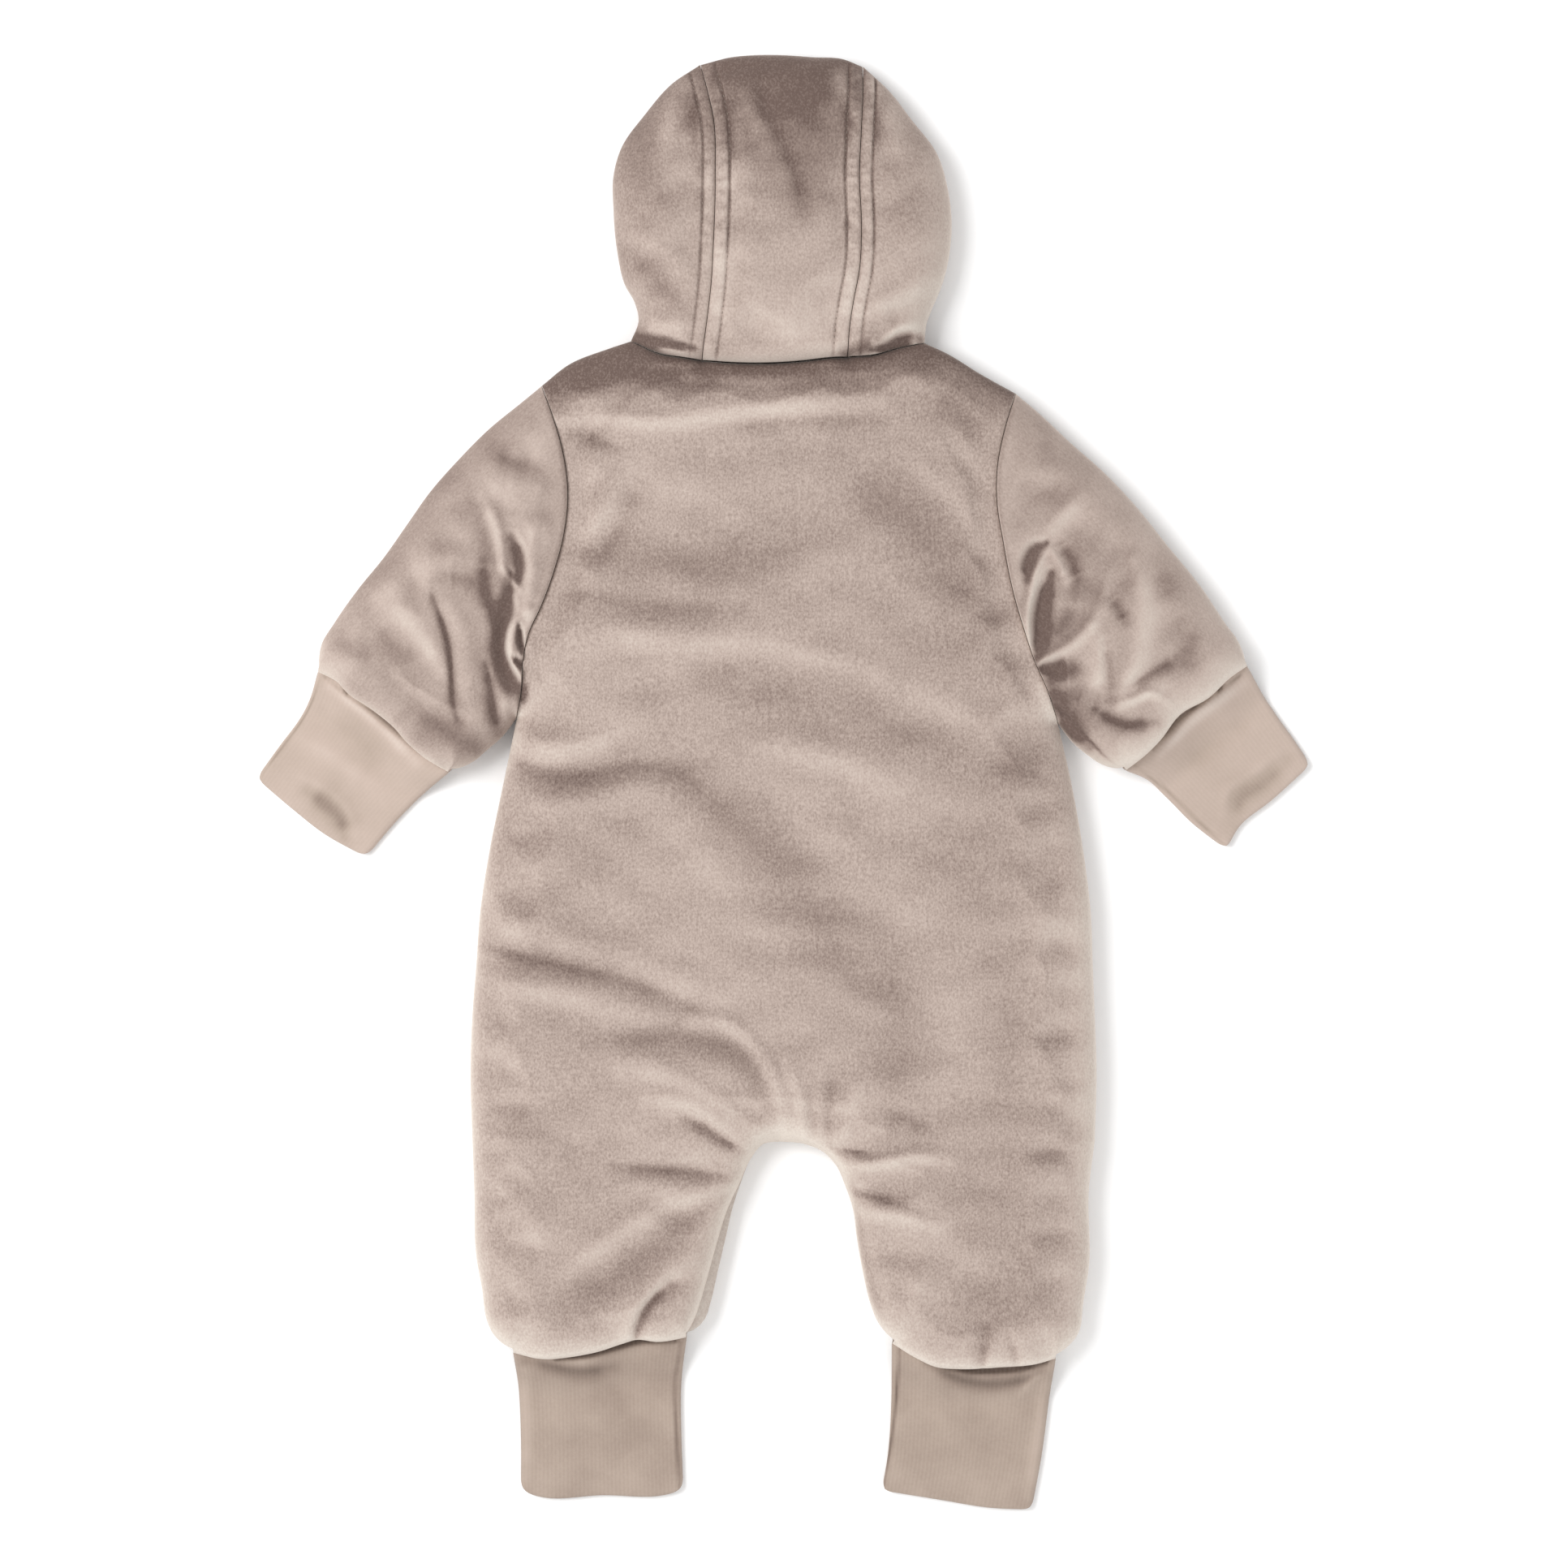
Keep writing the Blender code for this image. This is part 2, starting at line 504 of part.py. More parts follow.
def back_panel():
    """The whole back: shoulders and neck to both leg hems, in one piece."""
    neck_middle = sample(aside(smooth(NECK_CENTER), INSET), [0.5])[0]
    halves = [back_half(side, neck_middle) for side in (LEFT, RIGHT)]
    edges = halves[0][1] + halves[1][1]
    sheets = [raised(sheet, edges, BACK_TOP, "back") for half in halves for sheet in half[0]]
    panel("back_panel", sheets, SEAM_LEVEL + INSET, "velour")


def front_panel(name, side):
    """A front and its leg, from the shoulder to the hem: it lies on the surface, beside the zip."""
    near = side.near
    edge_x, seam_x = ZIP_X - near * ZIP_HALF, ZIP_X - near * INSET
    armhole = seam(side.armhole, TUBE_UNDER, -near * INSET)
    neck = seam(side.front_neck, HOOD_UNDER, near * INSET)
    neck[-1, 0] = edge_x
    shoulder = ended(seam(side.shoulder, SHOULDER_ALONG), armhole[0], neck[0])
    flank = ended(seam(side.flank, np.linspace(0, 1, FRONT_FLANK_ROWS)), armhole[-1])
    down = body_rows(TUBE_UNDER, FRONT_FLANK_ROWS)
    zip_rows = len(down) - 3
    zip_edge = sample(np.array([neck[-1], (edge_x, ZIP_END)]), np.linspace(0, 1, zip_rows))
    below = sample(np.array([(seam_x, ZIP_END - 6), (seam_x, CROTCH[1])]), np.linspace(0, 1, 3))
    middle = np.vstack([zip_edge, below])
    level = sample(np.array([side.flank[-1], middle[-1]]), FRONT_ACROSS)
    hem = seam(side.hem, FRONT_ACROSS, -near * INSET)
    leg = ended(seam(side.leg, FRONT_LEG_ROWS), last=hem[0])
    inseam = ended(seam(side.inseam, FRONT_LEG_ROWS), middle[-1], hem[-1])
    sheets = [patch(run(shoulder, neck), level, run(armhole, flank), middle, FRONT_ACROSS, down),
              patch(level, hem, leg, inseam, FRONT_ACROSS, FRONT_LEG_ROWS)]
    edges = rounded({"shoulder": shoulder, "neck": neck, "armhole": armhole,
                     "flank": run(flank, leg), "inseam": inseam, "hem": hem, "zip": zip_edge},
                    FRONT_ROUND)
    panel(name, [lowered(sheet, edges) for sheet in sheets], SEAM_LEVEL - INSET, "velour")


def sleeve(name, side):
    """A flattened padded tube from the armhole to the cuff, its seam along the underarm."""
    near = side.near

    def grid(across, down):
        """Plan of one face of the tube, and its four edges."""
        armhole = seam(side.armhole, across, near * INSET)
        hem = seam(side.sleeve_hem, across, -near * INSET)
        over = ended(seam(side.overarm, down), armhole[0], hem[0])
        under = ended(seam(side.underarm, down), armhole[-1], hem[-1])
        edges = {"overarm": over, "underarm": under, "armhole": armhole, "hem": hem}
        return patch(armhole, hem, over, under, across, down), edges

    points, edges = grid(TUBE_ACROSS, TUBE_DOWN)
    top = raised(points, rounded(edges, SLEEVE_ROUND), SLEEVE_TOP, name)
    points, edges = grid(TUBE_UNDER, TUBE_DOWN)
    low = lowered(points, rounded(edges, SLEEVE_UNDER_ROUND))
    slit_rows = list(range(0, len(TUBE_DOWN) - 1, SLIT_STEP)) + [-1]
    slit_top = at_level(top[slit_rows, 2:-2, :2], SEAM_LEVEL + SLIT / 2)
    slit_low = at_level(low[slit_rows, 1:-2, :2], SEAM_LEVEL - SLIT / 2)
    tube(name, (top, low), (slit_top, slit_low), (TUBE_ACROSS, TUBE_UNDER),
         (TUBE_ACROSS[2:-2], TUBE_UNDER[1:-2]), "velour")


def cuff(name, hem, shape, near, across, across_under):
    """A flattened tube of doubled jersey, dropping from its seam to the surface."""
    length = np.linalg.norm(np.diff(np.array(shape.outer), axis=0), axis=1).sum()
    rest = CUFF_THICK / 2
    fall = np.clip(np.array(CUFF_DOWN) * length / CUFF_DROP, 0, 1)
    fall = fall * fall * (3 - 2 * fall)
    middle = (SEAM_LEVEL + (rest - SEAM_LEVEL) * fall)[:, None]

    def face(columns, half):
        """One face of the cuff, and the same points on the slit's face next to it."""
        top = seam(hem, columns, near * INSET)
        first = ended(seam(shape.outer, CUFF_DOWN), top[0])
        last = ended(seam(shape.inner, CUFF_DOWN), top[-1])
        end = ended(seam(shape.end, columns), first[-1], last[-1])
        points = patch(top, end, first, last, columns, CUFF_DOWN)
        share = fullness(points, ((first, CUFF_ROUND), (last, CUFF_ROUND)))
        slit = at_level(points, middle + np.sign(half) * CUFF_SLIT / 2)
        return at_level(points, middle + half * share), slit[:, 2:-2]

    upper, upper_slit = face(across, rest)
    under, under_slit = face(across_under, -rest)
    tube(name, (upper, under), (upper_slit, under_slit), (across, across_under),
         (across[2:-2], across_under[2:-2]), "jersey")


def hood_edges():
    """How the hood's padding falls towards its outline, its seams and its openings."""
    outlines = [smooth(CROWN)] + [smooth(side.hood_edge) for side in SIDES.values()]
    necks = [smooth(NECK_CENTER)] + [smooth(side.neck) for side in SIDES.values()]
    seams = [smooth(side.hood_seam) for side in SIDES.values()]
    faces = [smooth(FACE_TOP)] + [smooth(side.face_edge) for side in SIDES.values()]
    front_necks = [smooth(side.front_neck) for side in SIDES.values()]
    top = [(curve, HOOD_ROUND["outline"]) for curve in outlines]
    top += [(curve, HOOD_ROUND["neck"]) for curve in necks]
    top += [(curve, HOOD_ROUND["seam"]) for curve in seams]
    low = [(curve, HOOD_UNDER_ROUND["outline"]) for curve in outlines]
    low += [(curve, HOOD_UNDER_ROUND["face"]) for curve in faces]
    low += [(curve, HOOD_UNDER_ROUND["neck"]) for curve in front_necks]
    return top, low


def hood_panel(name, upper, under, across):
    """A hood panel that folds from the upper layer, round the outline, to the under layer.

    Upper and under are plan grids [row][column] that share their edge on the outline.
    """
    top_edges, low_edges = hood_edges()
    top = raised(upper, top_edges, HOOD_TOP, "hood")
    low = lowered(under, low_edges)
    points = upper[:, :-2]
    base = SEAM_LEVEL + SEAM_GAP
    lining = at_level(points, base + (HOOD_LINING - base) * fullness(points, top_edges))
    folded = at_level(under[:, 2:], SEAM_LEVEL - SEAM_GAP)
    folded_wall(name, (top, low), (lining, folded), (across, HOOD_UNDER),
                (across[:-2], HOOD_UNDER[2:]), "velour")


def hood_side(name, side):
    """A hood side panel: from the centre strip's seam, round the outline, to the face opening."""
    near = side.near
    edge = seam(side.hood_edge, HOOD_DOWN)
    strip_seam = seam(side.hood_seam, HOOD_DOWN, -near * INSET)
    neck = seam(side.neck, 1 - np.array(HOOD_ACROSS)[::-1], -near * INSET)[::-1]
    neck, edge = ended(neck, strip_seam[0]), ended(edge, neck[-1])
    tip = sample(np.array([strip_seam[-1], edge[-1]]), HOOD_ACROSS)
    upper = patch(neck, tip, strip_seam, edge, HOOD_ACROSS, HOOD_DOWN)
    front_neck = ended(seam(side.front_neck, HOOD_UNDER, -near * INSET), edge[0])
    face = ended(seam(side.face_edge, HOOD_DOWN), front_neck[-1])
    face[-1, 0] -= near * INSET
    crown_seam = sample(np.array([edge[-1], face[-1]]), HOOD_UNDER)
    under = patch(front_neck, crown_seam, edge, face, HOOD_UNDER, HOOD_DOWN)
    hood_panel(name, upper, under, HOOD_ACROSS)


def hood_center():
    """The hood's centre strip: from the back of the neck, over the crown, to the face opening."""
    left = seam(LEFT.hood_seam, HOOD_DOWN, INSET)
    right = seam(RIGHT.hood_seam, HOOD_DOWN, -INSET)
    neck = ended(seam(NECK_CENTER, STRIP_ACROSS, -INSET), left[0], right[0])
    crown = ended(seam(CROWN, STRIP_ACROSS), left[-1], right[-1])
    face = seam(FACE_TOP, STRIP_ACROSS)
    upper = patch(left, right, neck, crown, HOOD_DOWN, STRIP_ACROSS)
    under = patch(sample(np.array([crown[0], face[0]]), HOOD_UNDER),
                  sample(np.array([crown[-1], face[-1]]), HOOD_UNDER),
                  crown, face, HOOD_UNDER, STRIP_ACROSS)
    hood_panel("hood_center", upper, under, HOOD_DOWN)


def stack(name, loops, finish):
    """One body of loops of points, each of the same number, closed at both ends."""
    shape = bmesh.new()
    rows = [[shape.verts.new(point) for point in loop] for loop in loops]
    skin(shape, rows, closed=True)
    shape.faces.new(rows[0])
    shape.faces.new(rows[-1])
    add_object(name, shape, finish)


def zip_strip():
    """Tape and closed coil as one strip, recessed between the padded fronts."""
    half = ZIP_HALF - SEAM_GAP
    profile = ((-half, TAPE_LEVEL[1]), (-half, TAPE_LEVEL[0]), (-CHAIN_HALF, TAPE_LEVEL[0]),
               (-CHAIN_HALF + CHAIN_SLOPE, CHAIN_LEVEL), (CHAIN_HALF - CHAIN_SLOPE, CHAIN_LEVEL),
               (CHAIN_HALF, TAPE_LEVEL[0]), (half, TAPE_LEVEL[0]), (half, TAPE_LEVEL[1]))
    stack("zip", [[(ZIP_X + x, y, z) for x, z in profile] for y in (ZIP_TOP, ZIP_END + 1)],
          "zip tape")


def outlined(size, corner, middle_y, level):
    """A rectangle with cut corners round the zip's middle line, at one level."""
    x, y = size[0] / 2, size[1] / 2
    shape = ((-x, -y + corner), (-x, y - corner), (-x + corner, y), (x - corner, y),
             (x, y - corner), (x, -y + corner), (x - corner, -y), (-x + corner, -y))
    return [(ZIP_X + across, middle_y + along, level) for across, along in shape]


def zip_slider():
    """The slider's face plate and the low bridge on it, drawn up to the neck."""
    upper, lower = SLIDER_LEVEL[1], SLIDER_LEVEL[0]
    stack("zip_slider", (outlined(SLIDER_SIZE, 1.5, SLIDER_Y, upper),
                         outlined(SLIDER_SIZE, 1.5, SLIDER_Y, lower),
                         outlined(BRIDGE_SIZE, 0.8, SLIDER_Y, lower),
                         outlined(BRIDGE_CREST, 0.6, SLIDER_Y, BRIDGE_LEVEL)),
          "slider plastic")


def zip_pull():
    """A short doubled ribbon on the slider."""
    middle_y = SLIDER_Y + PULL_OVERLAP - PULL_SIZE[1] / 2
    stack("zip_pull", [outlined(PULL_SIZE, 1.0, middle_y, level) for level in PULL_LEVEL], "jersey")


def build():
    for item in list(bpy.data.objects):
        bpy.data.objects.remove(item)
    back_panel()
    hood_center()
    for name, side in SIDES.items():
        front_panel("front_" + name, side)
        sleeve("sleeve_" + name, side)
        hood_side("hood_" + name, side)
        cuff("cuff_sleeve_" + name, side.sleeve_hem, SLEEVE_CUFFS[name], side.near,
             TUBE_ACROSS, TUBE_UNDER)
        cuff("cuff_leg_" + name, side.hem, LEG_CUFFS[name], side.near, BACK_ACROSS, FRONT_ACROSS)
    zip_strip()
    zip_slider()
    zip_pull()


build()
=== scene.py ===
"""Looks of a baby's padded velour pramsuit, laid flat on its front with the back up.

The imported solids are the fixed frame. Each sewn piece gets a fine skin in the same place: padded
velour for the body, sleeves and hood, doubled jersey for the cuffs, the hood's topstitching and
the zip. Tables and sizes are in millimetres in the frame of the solids, and a mesh turns them to
metres.
"""
from collections import namedtuple

import bmesh
import bpy
import numpy as np
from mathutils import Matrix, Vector, kdtree, noise
from mathutils.bvhtree import BVHTree


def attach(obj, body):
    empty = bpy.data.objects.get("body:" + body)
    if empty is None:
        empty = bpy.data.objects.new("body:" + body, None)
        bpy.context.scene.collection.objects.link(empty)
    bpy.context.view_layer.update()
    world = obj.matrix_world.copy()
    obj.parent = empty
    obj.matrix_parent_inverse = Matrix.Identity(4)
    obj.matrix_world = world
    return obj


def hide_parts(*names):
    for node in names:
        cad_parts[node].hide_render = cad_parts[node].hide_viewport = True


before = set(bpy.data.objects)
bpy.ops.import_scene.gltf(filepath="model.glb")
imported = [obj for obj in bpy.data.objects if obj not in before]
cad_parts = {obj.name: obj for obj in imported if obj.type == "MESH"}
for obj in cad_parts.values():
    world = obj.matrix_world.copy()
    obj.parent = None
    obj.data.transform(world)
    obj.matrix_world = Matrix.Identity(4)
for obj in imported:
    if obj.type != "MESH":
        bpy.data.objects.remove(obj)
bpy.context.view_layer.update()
bpy.ops.object.select_all(action="DESELECT")

# ------------------------------------------------------------------------------------------------
# Back panel. One piece of cotton velour over wadding, cut in one with the backs of both legs.
# It is sewn to the fronts along the sides and inner legs. Its pile lies towards the feet; cloth
# that tilts to the hood is painted darker and cloth that tilts to the feet is painted lighter,
# painted shade and light for how the light falls on that pile.
MM = 0.001
SEAM_LEVEL = 13.0        # height of the side seams as the suit lies
SEAM_GAP = 0.3           # between two pieces at a seam
INSET = SEAM_GAP / 2
SEAM_ROLL = 0.5          # how far above or below the seam the cloth's edge is rolled in
BACK_TOP = 27.5
CELL = 1.5               # width of a mesh cell away from the seams
NEAR_SEAM = (0, 0.35, 0.9, 1.7, 2.8, 4.3)  # places of the cells next to a seam
CROTCH = (-2, -185)
NECK_CENTER = ((-42, 218.6), (-36, 218), (-10, 217), (8, 218), (26, 220), (33, 220.4))
BodySide = namedtuple("BodySide", "near shoulder neck armhole flank leg hem inseam")
BODY = {
    "left": BodySide(
        near=1,
        shoulder=((-125, 206), (-111, 217), (-91, 225), (-79, 229)),
        neck=((-79, 229), (-64, 222), (-52, 220), NECK_CENTER[0]),
        armhole=((-125, 206), (-118, 187), (-113, 168), (-111, 148), (-113, 129), (-118, 110),
                 (-125, 91), (-131, 78), (-134, 64), (-135, 48), (-138, 34)),
        flank=((-138, 34), (-145, 0), (-152, -34), (-157, -67), (-159, -94), (-161, -120),
               (-162, -150), (-161, -183)),
        leg=((-161, -183), (-160, -210), (-159, -244), (-156, -261), (-153, -279), (-148, -288),
             (-140, -294)),
        hem=((-140, -294), (-124, -297), (-111, -296), (-95, -293), (-83, -289), (-76, -287),
             (-65, -288), (-50, -286)),
        inseam=(CROTCH, (-10, -186), (-17, -194), (-23, -207), (-29, -220), (-34, -236),
                (-39, -254), (-43, -268), (-47, -280), (-50, -286))),
    "right": BodySide(
        near=-1,
        shoulder=((120, 202), (102, 212), (84, 223), (73, 228)),
        neck=((73, 228), (60, 225), (45, 221), NECK_CENTER[-1]),
        armhole=((120, 202), (114, 183), (110, 162), (110, 144), (113, 125), (117, 104), (123, 82),
                 (129, 64), (136, 48), (142, 31)),
        flank=((142, 31), (149, 0), (155, -34), (159, -67), (160, -94), (161, -118), (162, -150),
               (161, -185)),
        leg=((161, -185), (158, -210), (158, -250), (155, -269), (153, -283), (148, -291),
             (141, -297)),
        hem=((141, -297), (128, -300), (113, -301), (91, -302), (79, -301), (66, -295),
             (56, -289)),
        inseam=(CROTCH, (10, -186), (20, -190), (27, -197), (32, -208), (36, -220), (38, -235),
                (41, -252), (45, -269), (50, -281), (56, -289)))}

# A row of folds and strokes: the width at even steps along the path, the ridge's height (a trough's
# is negative), its tone, which is painted light on ridges and rims and painted shade in troughs,
# creases and under the hood, and partly brushed pile, its path, and in some rows how much softer it
# is on the left of its path and how sharply its edges end
Fold = namedtuple("Fold", "width height tone path lean crisp", defaults=(0, 0))
FOLD_REACH = 3           # how many of its widths away from its path a fold is worked out
FOLD_ENDS = (6, 0.45)    # how soon a fold reaches its full height, and its least share of that
RIDGE_EDGE, TROUGH_EDGE = 2, 1.6   # how sharply a ridge and a trough end
BACK_FOLDS = (
    # under the hood and over the shoulders
    ((10, 9, 7), 0, -0.85, ((-119, 205), (-92, 210), (-60, 211), (-38, 208))),
    (7, 0, -0.54, ((-40, 211), (0, 211), (40, 213), (72, 218))),
    (2.2, 0, 0.45, ((-90, 215), (-50, 215.5), (0, 215.5), (50, 217))),
    (7, 0, -0.22, ((-106, 200), (-70, 203), (-44, 203))),
    (7, 0, -0.22, ((20, 207), (50, 208), (76, 210))),
    ((18, 22, 16), 0, -0.2, ((44, 176), (70, 150), (88, 120))),
    ((8, 12), 0, -0.41, ((74, 200), (90, 190), (106, 176))),
    ((4, 5, 6, 5), 1.4, 0.37, ((-117, 188), (-90, 189), (-62, 187), (-30, 192), (4, 196), (50, 198))),
    ((6, 4), -1.1, -0.44, ((-107, 181), (-97, 178), (-86, 174))),
    (5, -0.6, -0.2, ((-34, 184), (10, 188), (50, 189))),
    ((8, 14), 0.3, 0.19, ((-84, 168), (-60, 152), (-40, 148))),
    (5, 0.8, 0.1, ((-80, 166), (-89, 150), (-98, 133), (-108, 116))),
    (6, -1, -0.31, ((-72, 160), (-82, 138), (-93, 121), (-106, 108))),
    # over the shoulder blades
    ((12, 15, 12), -0.6, -0.42, ((-106, 120), (-70, 116), (-20, 117), (24, 124))),
    ((6, 9, 6), -1, -0.46, ((-109, 99), (-80, 95), (-50, 92), (-22, 92))),
    ((8, 8, 6), 1, 0.28, ((-113, 82), (-84, 80), (-50, 75), (-16, 74), (20, 66), (50, 58))),
    ((13, 19, 14), -0.6, -0.4, ((30, 162), (54, 140), (80, 114), (102, 84))),
    (6, 0.5, 0.22, ((60, 172), (84, 152), (102, 132))),
    (9, -0.6, -0.27, ((82, 106), (104, 92), (114, 78))),
    ((20, 24), 0, -0.08, ((-70, 134), (-20, 140), (20, 138))),
    ((10, 14), 0, -0.18, ((36, 84), (70, 74), (104, 62))),
    # across the waist
    ((9, 16, 16, 10), -0.5, -0.34, ((-66, 50), (-30, 50), (0, 45), (40, 35), (80, 22), (114, 9))),
    ((6, 10), 0.6, 0.19, ((-20, 24), (20, 14), (60, 2), (96, -12))),
    (7, -0.8, -0.41, ((108, 10), (122, 8), (134, 4))),
    (8, 0.7, 0.19, ((36, 66), (76, 46), (108, 30))),
    ((7, 5), 1, 0.34, ((-135, 22), (-116, 19), (-94, 24), (-84, 29))),
    ((5, 8, 9, 9), -1.2, -0.6, ((-138, 12.8), (-126, 7.6), (-110, 5.8), (-95, 6.6), (-80, 10.4),
     (-62, 9), (-46, 2.4), (-34, -9)), -0.2),
    ((12, 17, 20), -0.3, -0.42, ((-46, -2), (-20, -26), (0, -48), (24, -74), (46, -104))),
    (7, 0.6, 0.05, ((-128, -8), (-100, -8), (-74, 0), (-56, -6))),
    (9, 0.6, 0.19, ((-66, -14), (-44, -36), (-22, -60))),
    (10, 0.3, 0.15, ((-8, 2), (20, -22), (50, -46), (92, -70))),
    ((5, 7), 0.6, 0.25, ((-153, -46), (-147, -66), (-132, -82))),
    # the seat
    ((6, 9, 7), 1, 0.22, ((-134, -71), (-112, -80), (-84, -89), (-56, -98), (-30, -108))),
    ((4, 7, 7, 6), -1.3, -0.58, ((-159, -82), (-140, -86), (-118, -91), (-96, -96), (-72, -103),
     (-48, -113)), 0.3),
    ((5, 7, 6), 1, 0.22, ((-154, -98), (-130, -104), (-104, -109), (-74, -116), (-46, -121))),
    ((7, 10, 9, 6), -1.1, -0.56, ((-98, -130), (-70, -128.5), (-45, -129), (-24, -136), (-13, -150),
     (-6, -171))),
    (4, 1.1, 0.31, ((-46, -120), (-28, -123), (-14, -135), (-4, -153), (0, -170))),
    ((7, 5), 1.3, 0.31, ((-82, -144), (-60, -148), (-42, -157), (-26, -168), (-12, -180))),
    ((3, 4, 2.6), -1.5, -0.66, ((-50, -171), (-40, -176), (-31, -182), (-21, -189))),
    (4.5, 1, 0.35, ((-70, -160), (-50, -163), (-36, -171), (-24, -181))),
    ((4, 4.5, 3), -1.2, -0.5, ((-86, -195), (-66, -197), (-48, -198), (-31, -201.5))),
    (6, 0, 0.25, ((-92, -176), (-66, -184), (-46, -190))),
    # left leg
    (7, 0.5, -0.05, ((-100, -210), (-76, -206), (-50, -204))),
    ((5, 6, 4), 1.1, 0.33, ((-114, -250), (-88, -232), (-66, -219), (-46, -211), (-28, -206.5))),
    ((9, 11, 9, 5), -1, -0.4, ((-113, -268), (-90, -254), (-68, -237), (-49, -223), (-31, -212))),
    (6, 0.7, 0.19, ((-88, -271), (-66, -257), (-50, -243), (-40, -233))),
    ((2.6, 2.6, 2.4, 3.4), -2.6, -1.3, ((-79, -289), (-77, -282), (-74, -274), (-68, -265),
     (-58, -256)), -0.3),
    (3, 0.8, 0.25, ((-83, -284), (-80, -274), (-74, -265))),
    (8, -0.6, -0.34, ((-116, -276), (-104, -272), (-92, -280))),
    (9, 0.4, 0.15, ((-134, -232), (-120, -226))),
    (6, -0.4, -0.2, ((-152, -176), (-120, -180), (-100, -188))),
    # crotch and right leg
    ((2.6, 3.4, 4), -1.1, -0.48, ((23, -184), (23, -166), (26, -146))),
    ((2.4, 4), 1, 0.25, ((11, -184), (9, -162), (2, -140))),
    ((2.4, 4), 0.7, 0.22, ((29, -186), (36, -164), (40, -146))),
    (3, -0.6, -0.27, ((14, -186), (15, -170), (14, -156))),
    ((3, 3.4, 2.6), -1.2, -0.42, ((24, -187), (33, -188), (43, -189))),
    ((3, 4.4), 1.4, 0.34, ((32, -196), (48, -194.6), (66, -190.6), (86, -192))),
    ((3, 4, 3), -1.3, -0.5, ((33, -209), (44, -211), (60, -214)), 0.3),
    (3.6, 1, 0.25, ((40, -219), (58, -221), (78, -226))),
    (5, -0.7, -0.37, ((54, -167), (64, -171), (76, -177))),
    (5, -0.7, -0.31, ((130, -186), (142, -189), (154, -190))),
    (8, 0.5, 0.19, ((68, -206), (86, -232))),
    ((12, 14, 9), -0.6, -0.26, ((88, -280), (108, -266), (130, -256), (146, -254))),
    (5, -0.9, -0.42, ((100, -286), (107, -275))),
    ((2.4, 3.6, 3.6), 0, -1, ((35, -206), (39, -236), (44, -258), (51, -282))),
    ((2, 3, 3), -1.8, -0.9, ((103, -302), (103, -293), (105, -284)), 0.3),
    ((2, 3), -1.3, -0.5, ((121, -301), (120, -292), (117, -284)), 0.3),
    (3, 0.7, 0.25, ((105, -300), (106, -288))),
    (6, 0.5, 0.19, ((62, -272), (72, -252))),
    # right side of the seat
    ((10, 13, 10), -0.3, -0.27, ((52, -72), (57, -110), (60, -150), (55, -172))),
    (9, -0.3, -0.2, ((112, -94), (117, -130), (112, -162))),
    (11, 0.3, 0.15, ((86, -96), (92, -142))),
    (11, 0.3, 0.15, ((134, -56), (142, -110))),
    (12, -0.4, -0.17, ((84, -20), (110, -36), (136, -50))),
    ((28, 32), 0, -0.12, ((112, 40), (100, -20), (98, -60))),
    ((26, 32), 0, -0.13, ((-116, 0), (-112, -70), (-106, -130))),
    # the right flank's rim, and both rims in the armpits, which the floor lights
    ((24, 28), 0, -0.12, ((110, -150), (114, -220), (110, -260))),
    ((8, 10, 9), 0, 0.6, ((146, 16), (155, -40), (158, -100), (158, -170), (155, -240), (150, -280))),
    ((5, 7), 0, 0.55, ((131, 58), (138, 36), (146, 12))),
    (5, 0, 0.6, ((-136, 30), (-139, 20), (-145, 4))),
    (2.4, 0, -2, ((-135, 53), (-133.5, 46), (-135.5, 40))),
    (2.6, 0, 0.5, ((122, 88), (125.5, 76), (129, 64))),
    (2.6, 0, 0.5, ((-126.5, 94), (-132, 80), (-135.5, 68))),
)

# How the padding rounds off at an edge: the share of the height kept there, and over what width
Round = namedtuple("Round", "lift radius")
BACK_ROUND = {"shoulder": Round(0, 22), "neck": Round(0.42, 10), "armhole": Round(0.93, 3),
              "flank": Round(0, 24), "inseam": Round(0, 16), "hem": Round(0, 12)}
SEAM_HOLD = 12.0         # how far in from a seam the stitches hold the cloth
HELD_STILL = 0.2         # share of that in which the cloth doesn't move at all
FOLDS_IN = (1.8, 0.3)    # folds show from 1/6 of the padding's height, and fully from 0.72 of it
TONE_IN = (5, 0.3)       # how soon a fold's tone shows fully from an edge, and its least share
FINER = (3, 3, 2)        # a second, finer set of strokes: so much weaker, shorter and narrower
HEM_SET_IN = 2.2         # from a hem's outline to the seam under it
HEM_LIP = (4.2, 14.0)    # how far the padding bulges out over a cuff, and over what width
Layer = namedtuple("Layer", "points tone free")

# How a piece's pile lies: its way, shorter where the pile stands up more, which also sets which way
# its painted shade and light run with the cloth's tilt; how light it looks on level cloth, and how
# strong the painted highlight along a rounded edge is; how much its speckle shows; and the strokes
# of lighter and darker pile, with how strong, how long and how wide they are and the way that they run
Pile = namedtuple("Pile", "way level rim rough stroke long wide stroke_way")
BACK_PILE = Pile((0.0, -1.0), 0.42, 0.9, 1.0, 0.12, 80.0, 17.0, (0.86, -0.51))
UNEVEN = (0.8, 26, 16)   # a layer's soft unevenness: its height, and its patches' length and width
NOISE_SLICE = 0.37       # where the noise is cut, off its even lattice
SAME_POINT = 0.02        # points that are closer than this are one
TINY = 1e-9              # keeps a division from failing


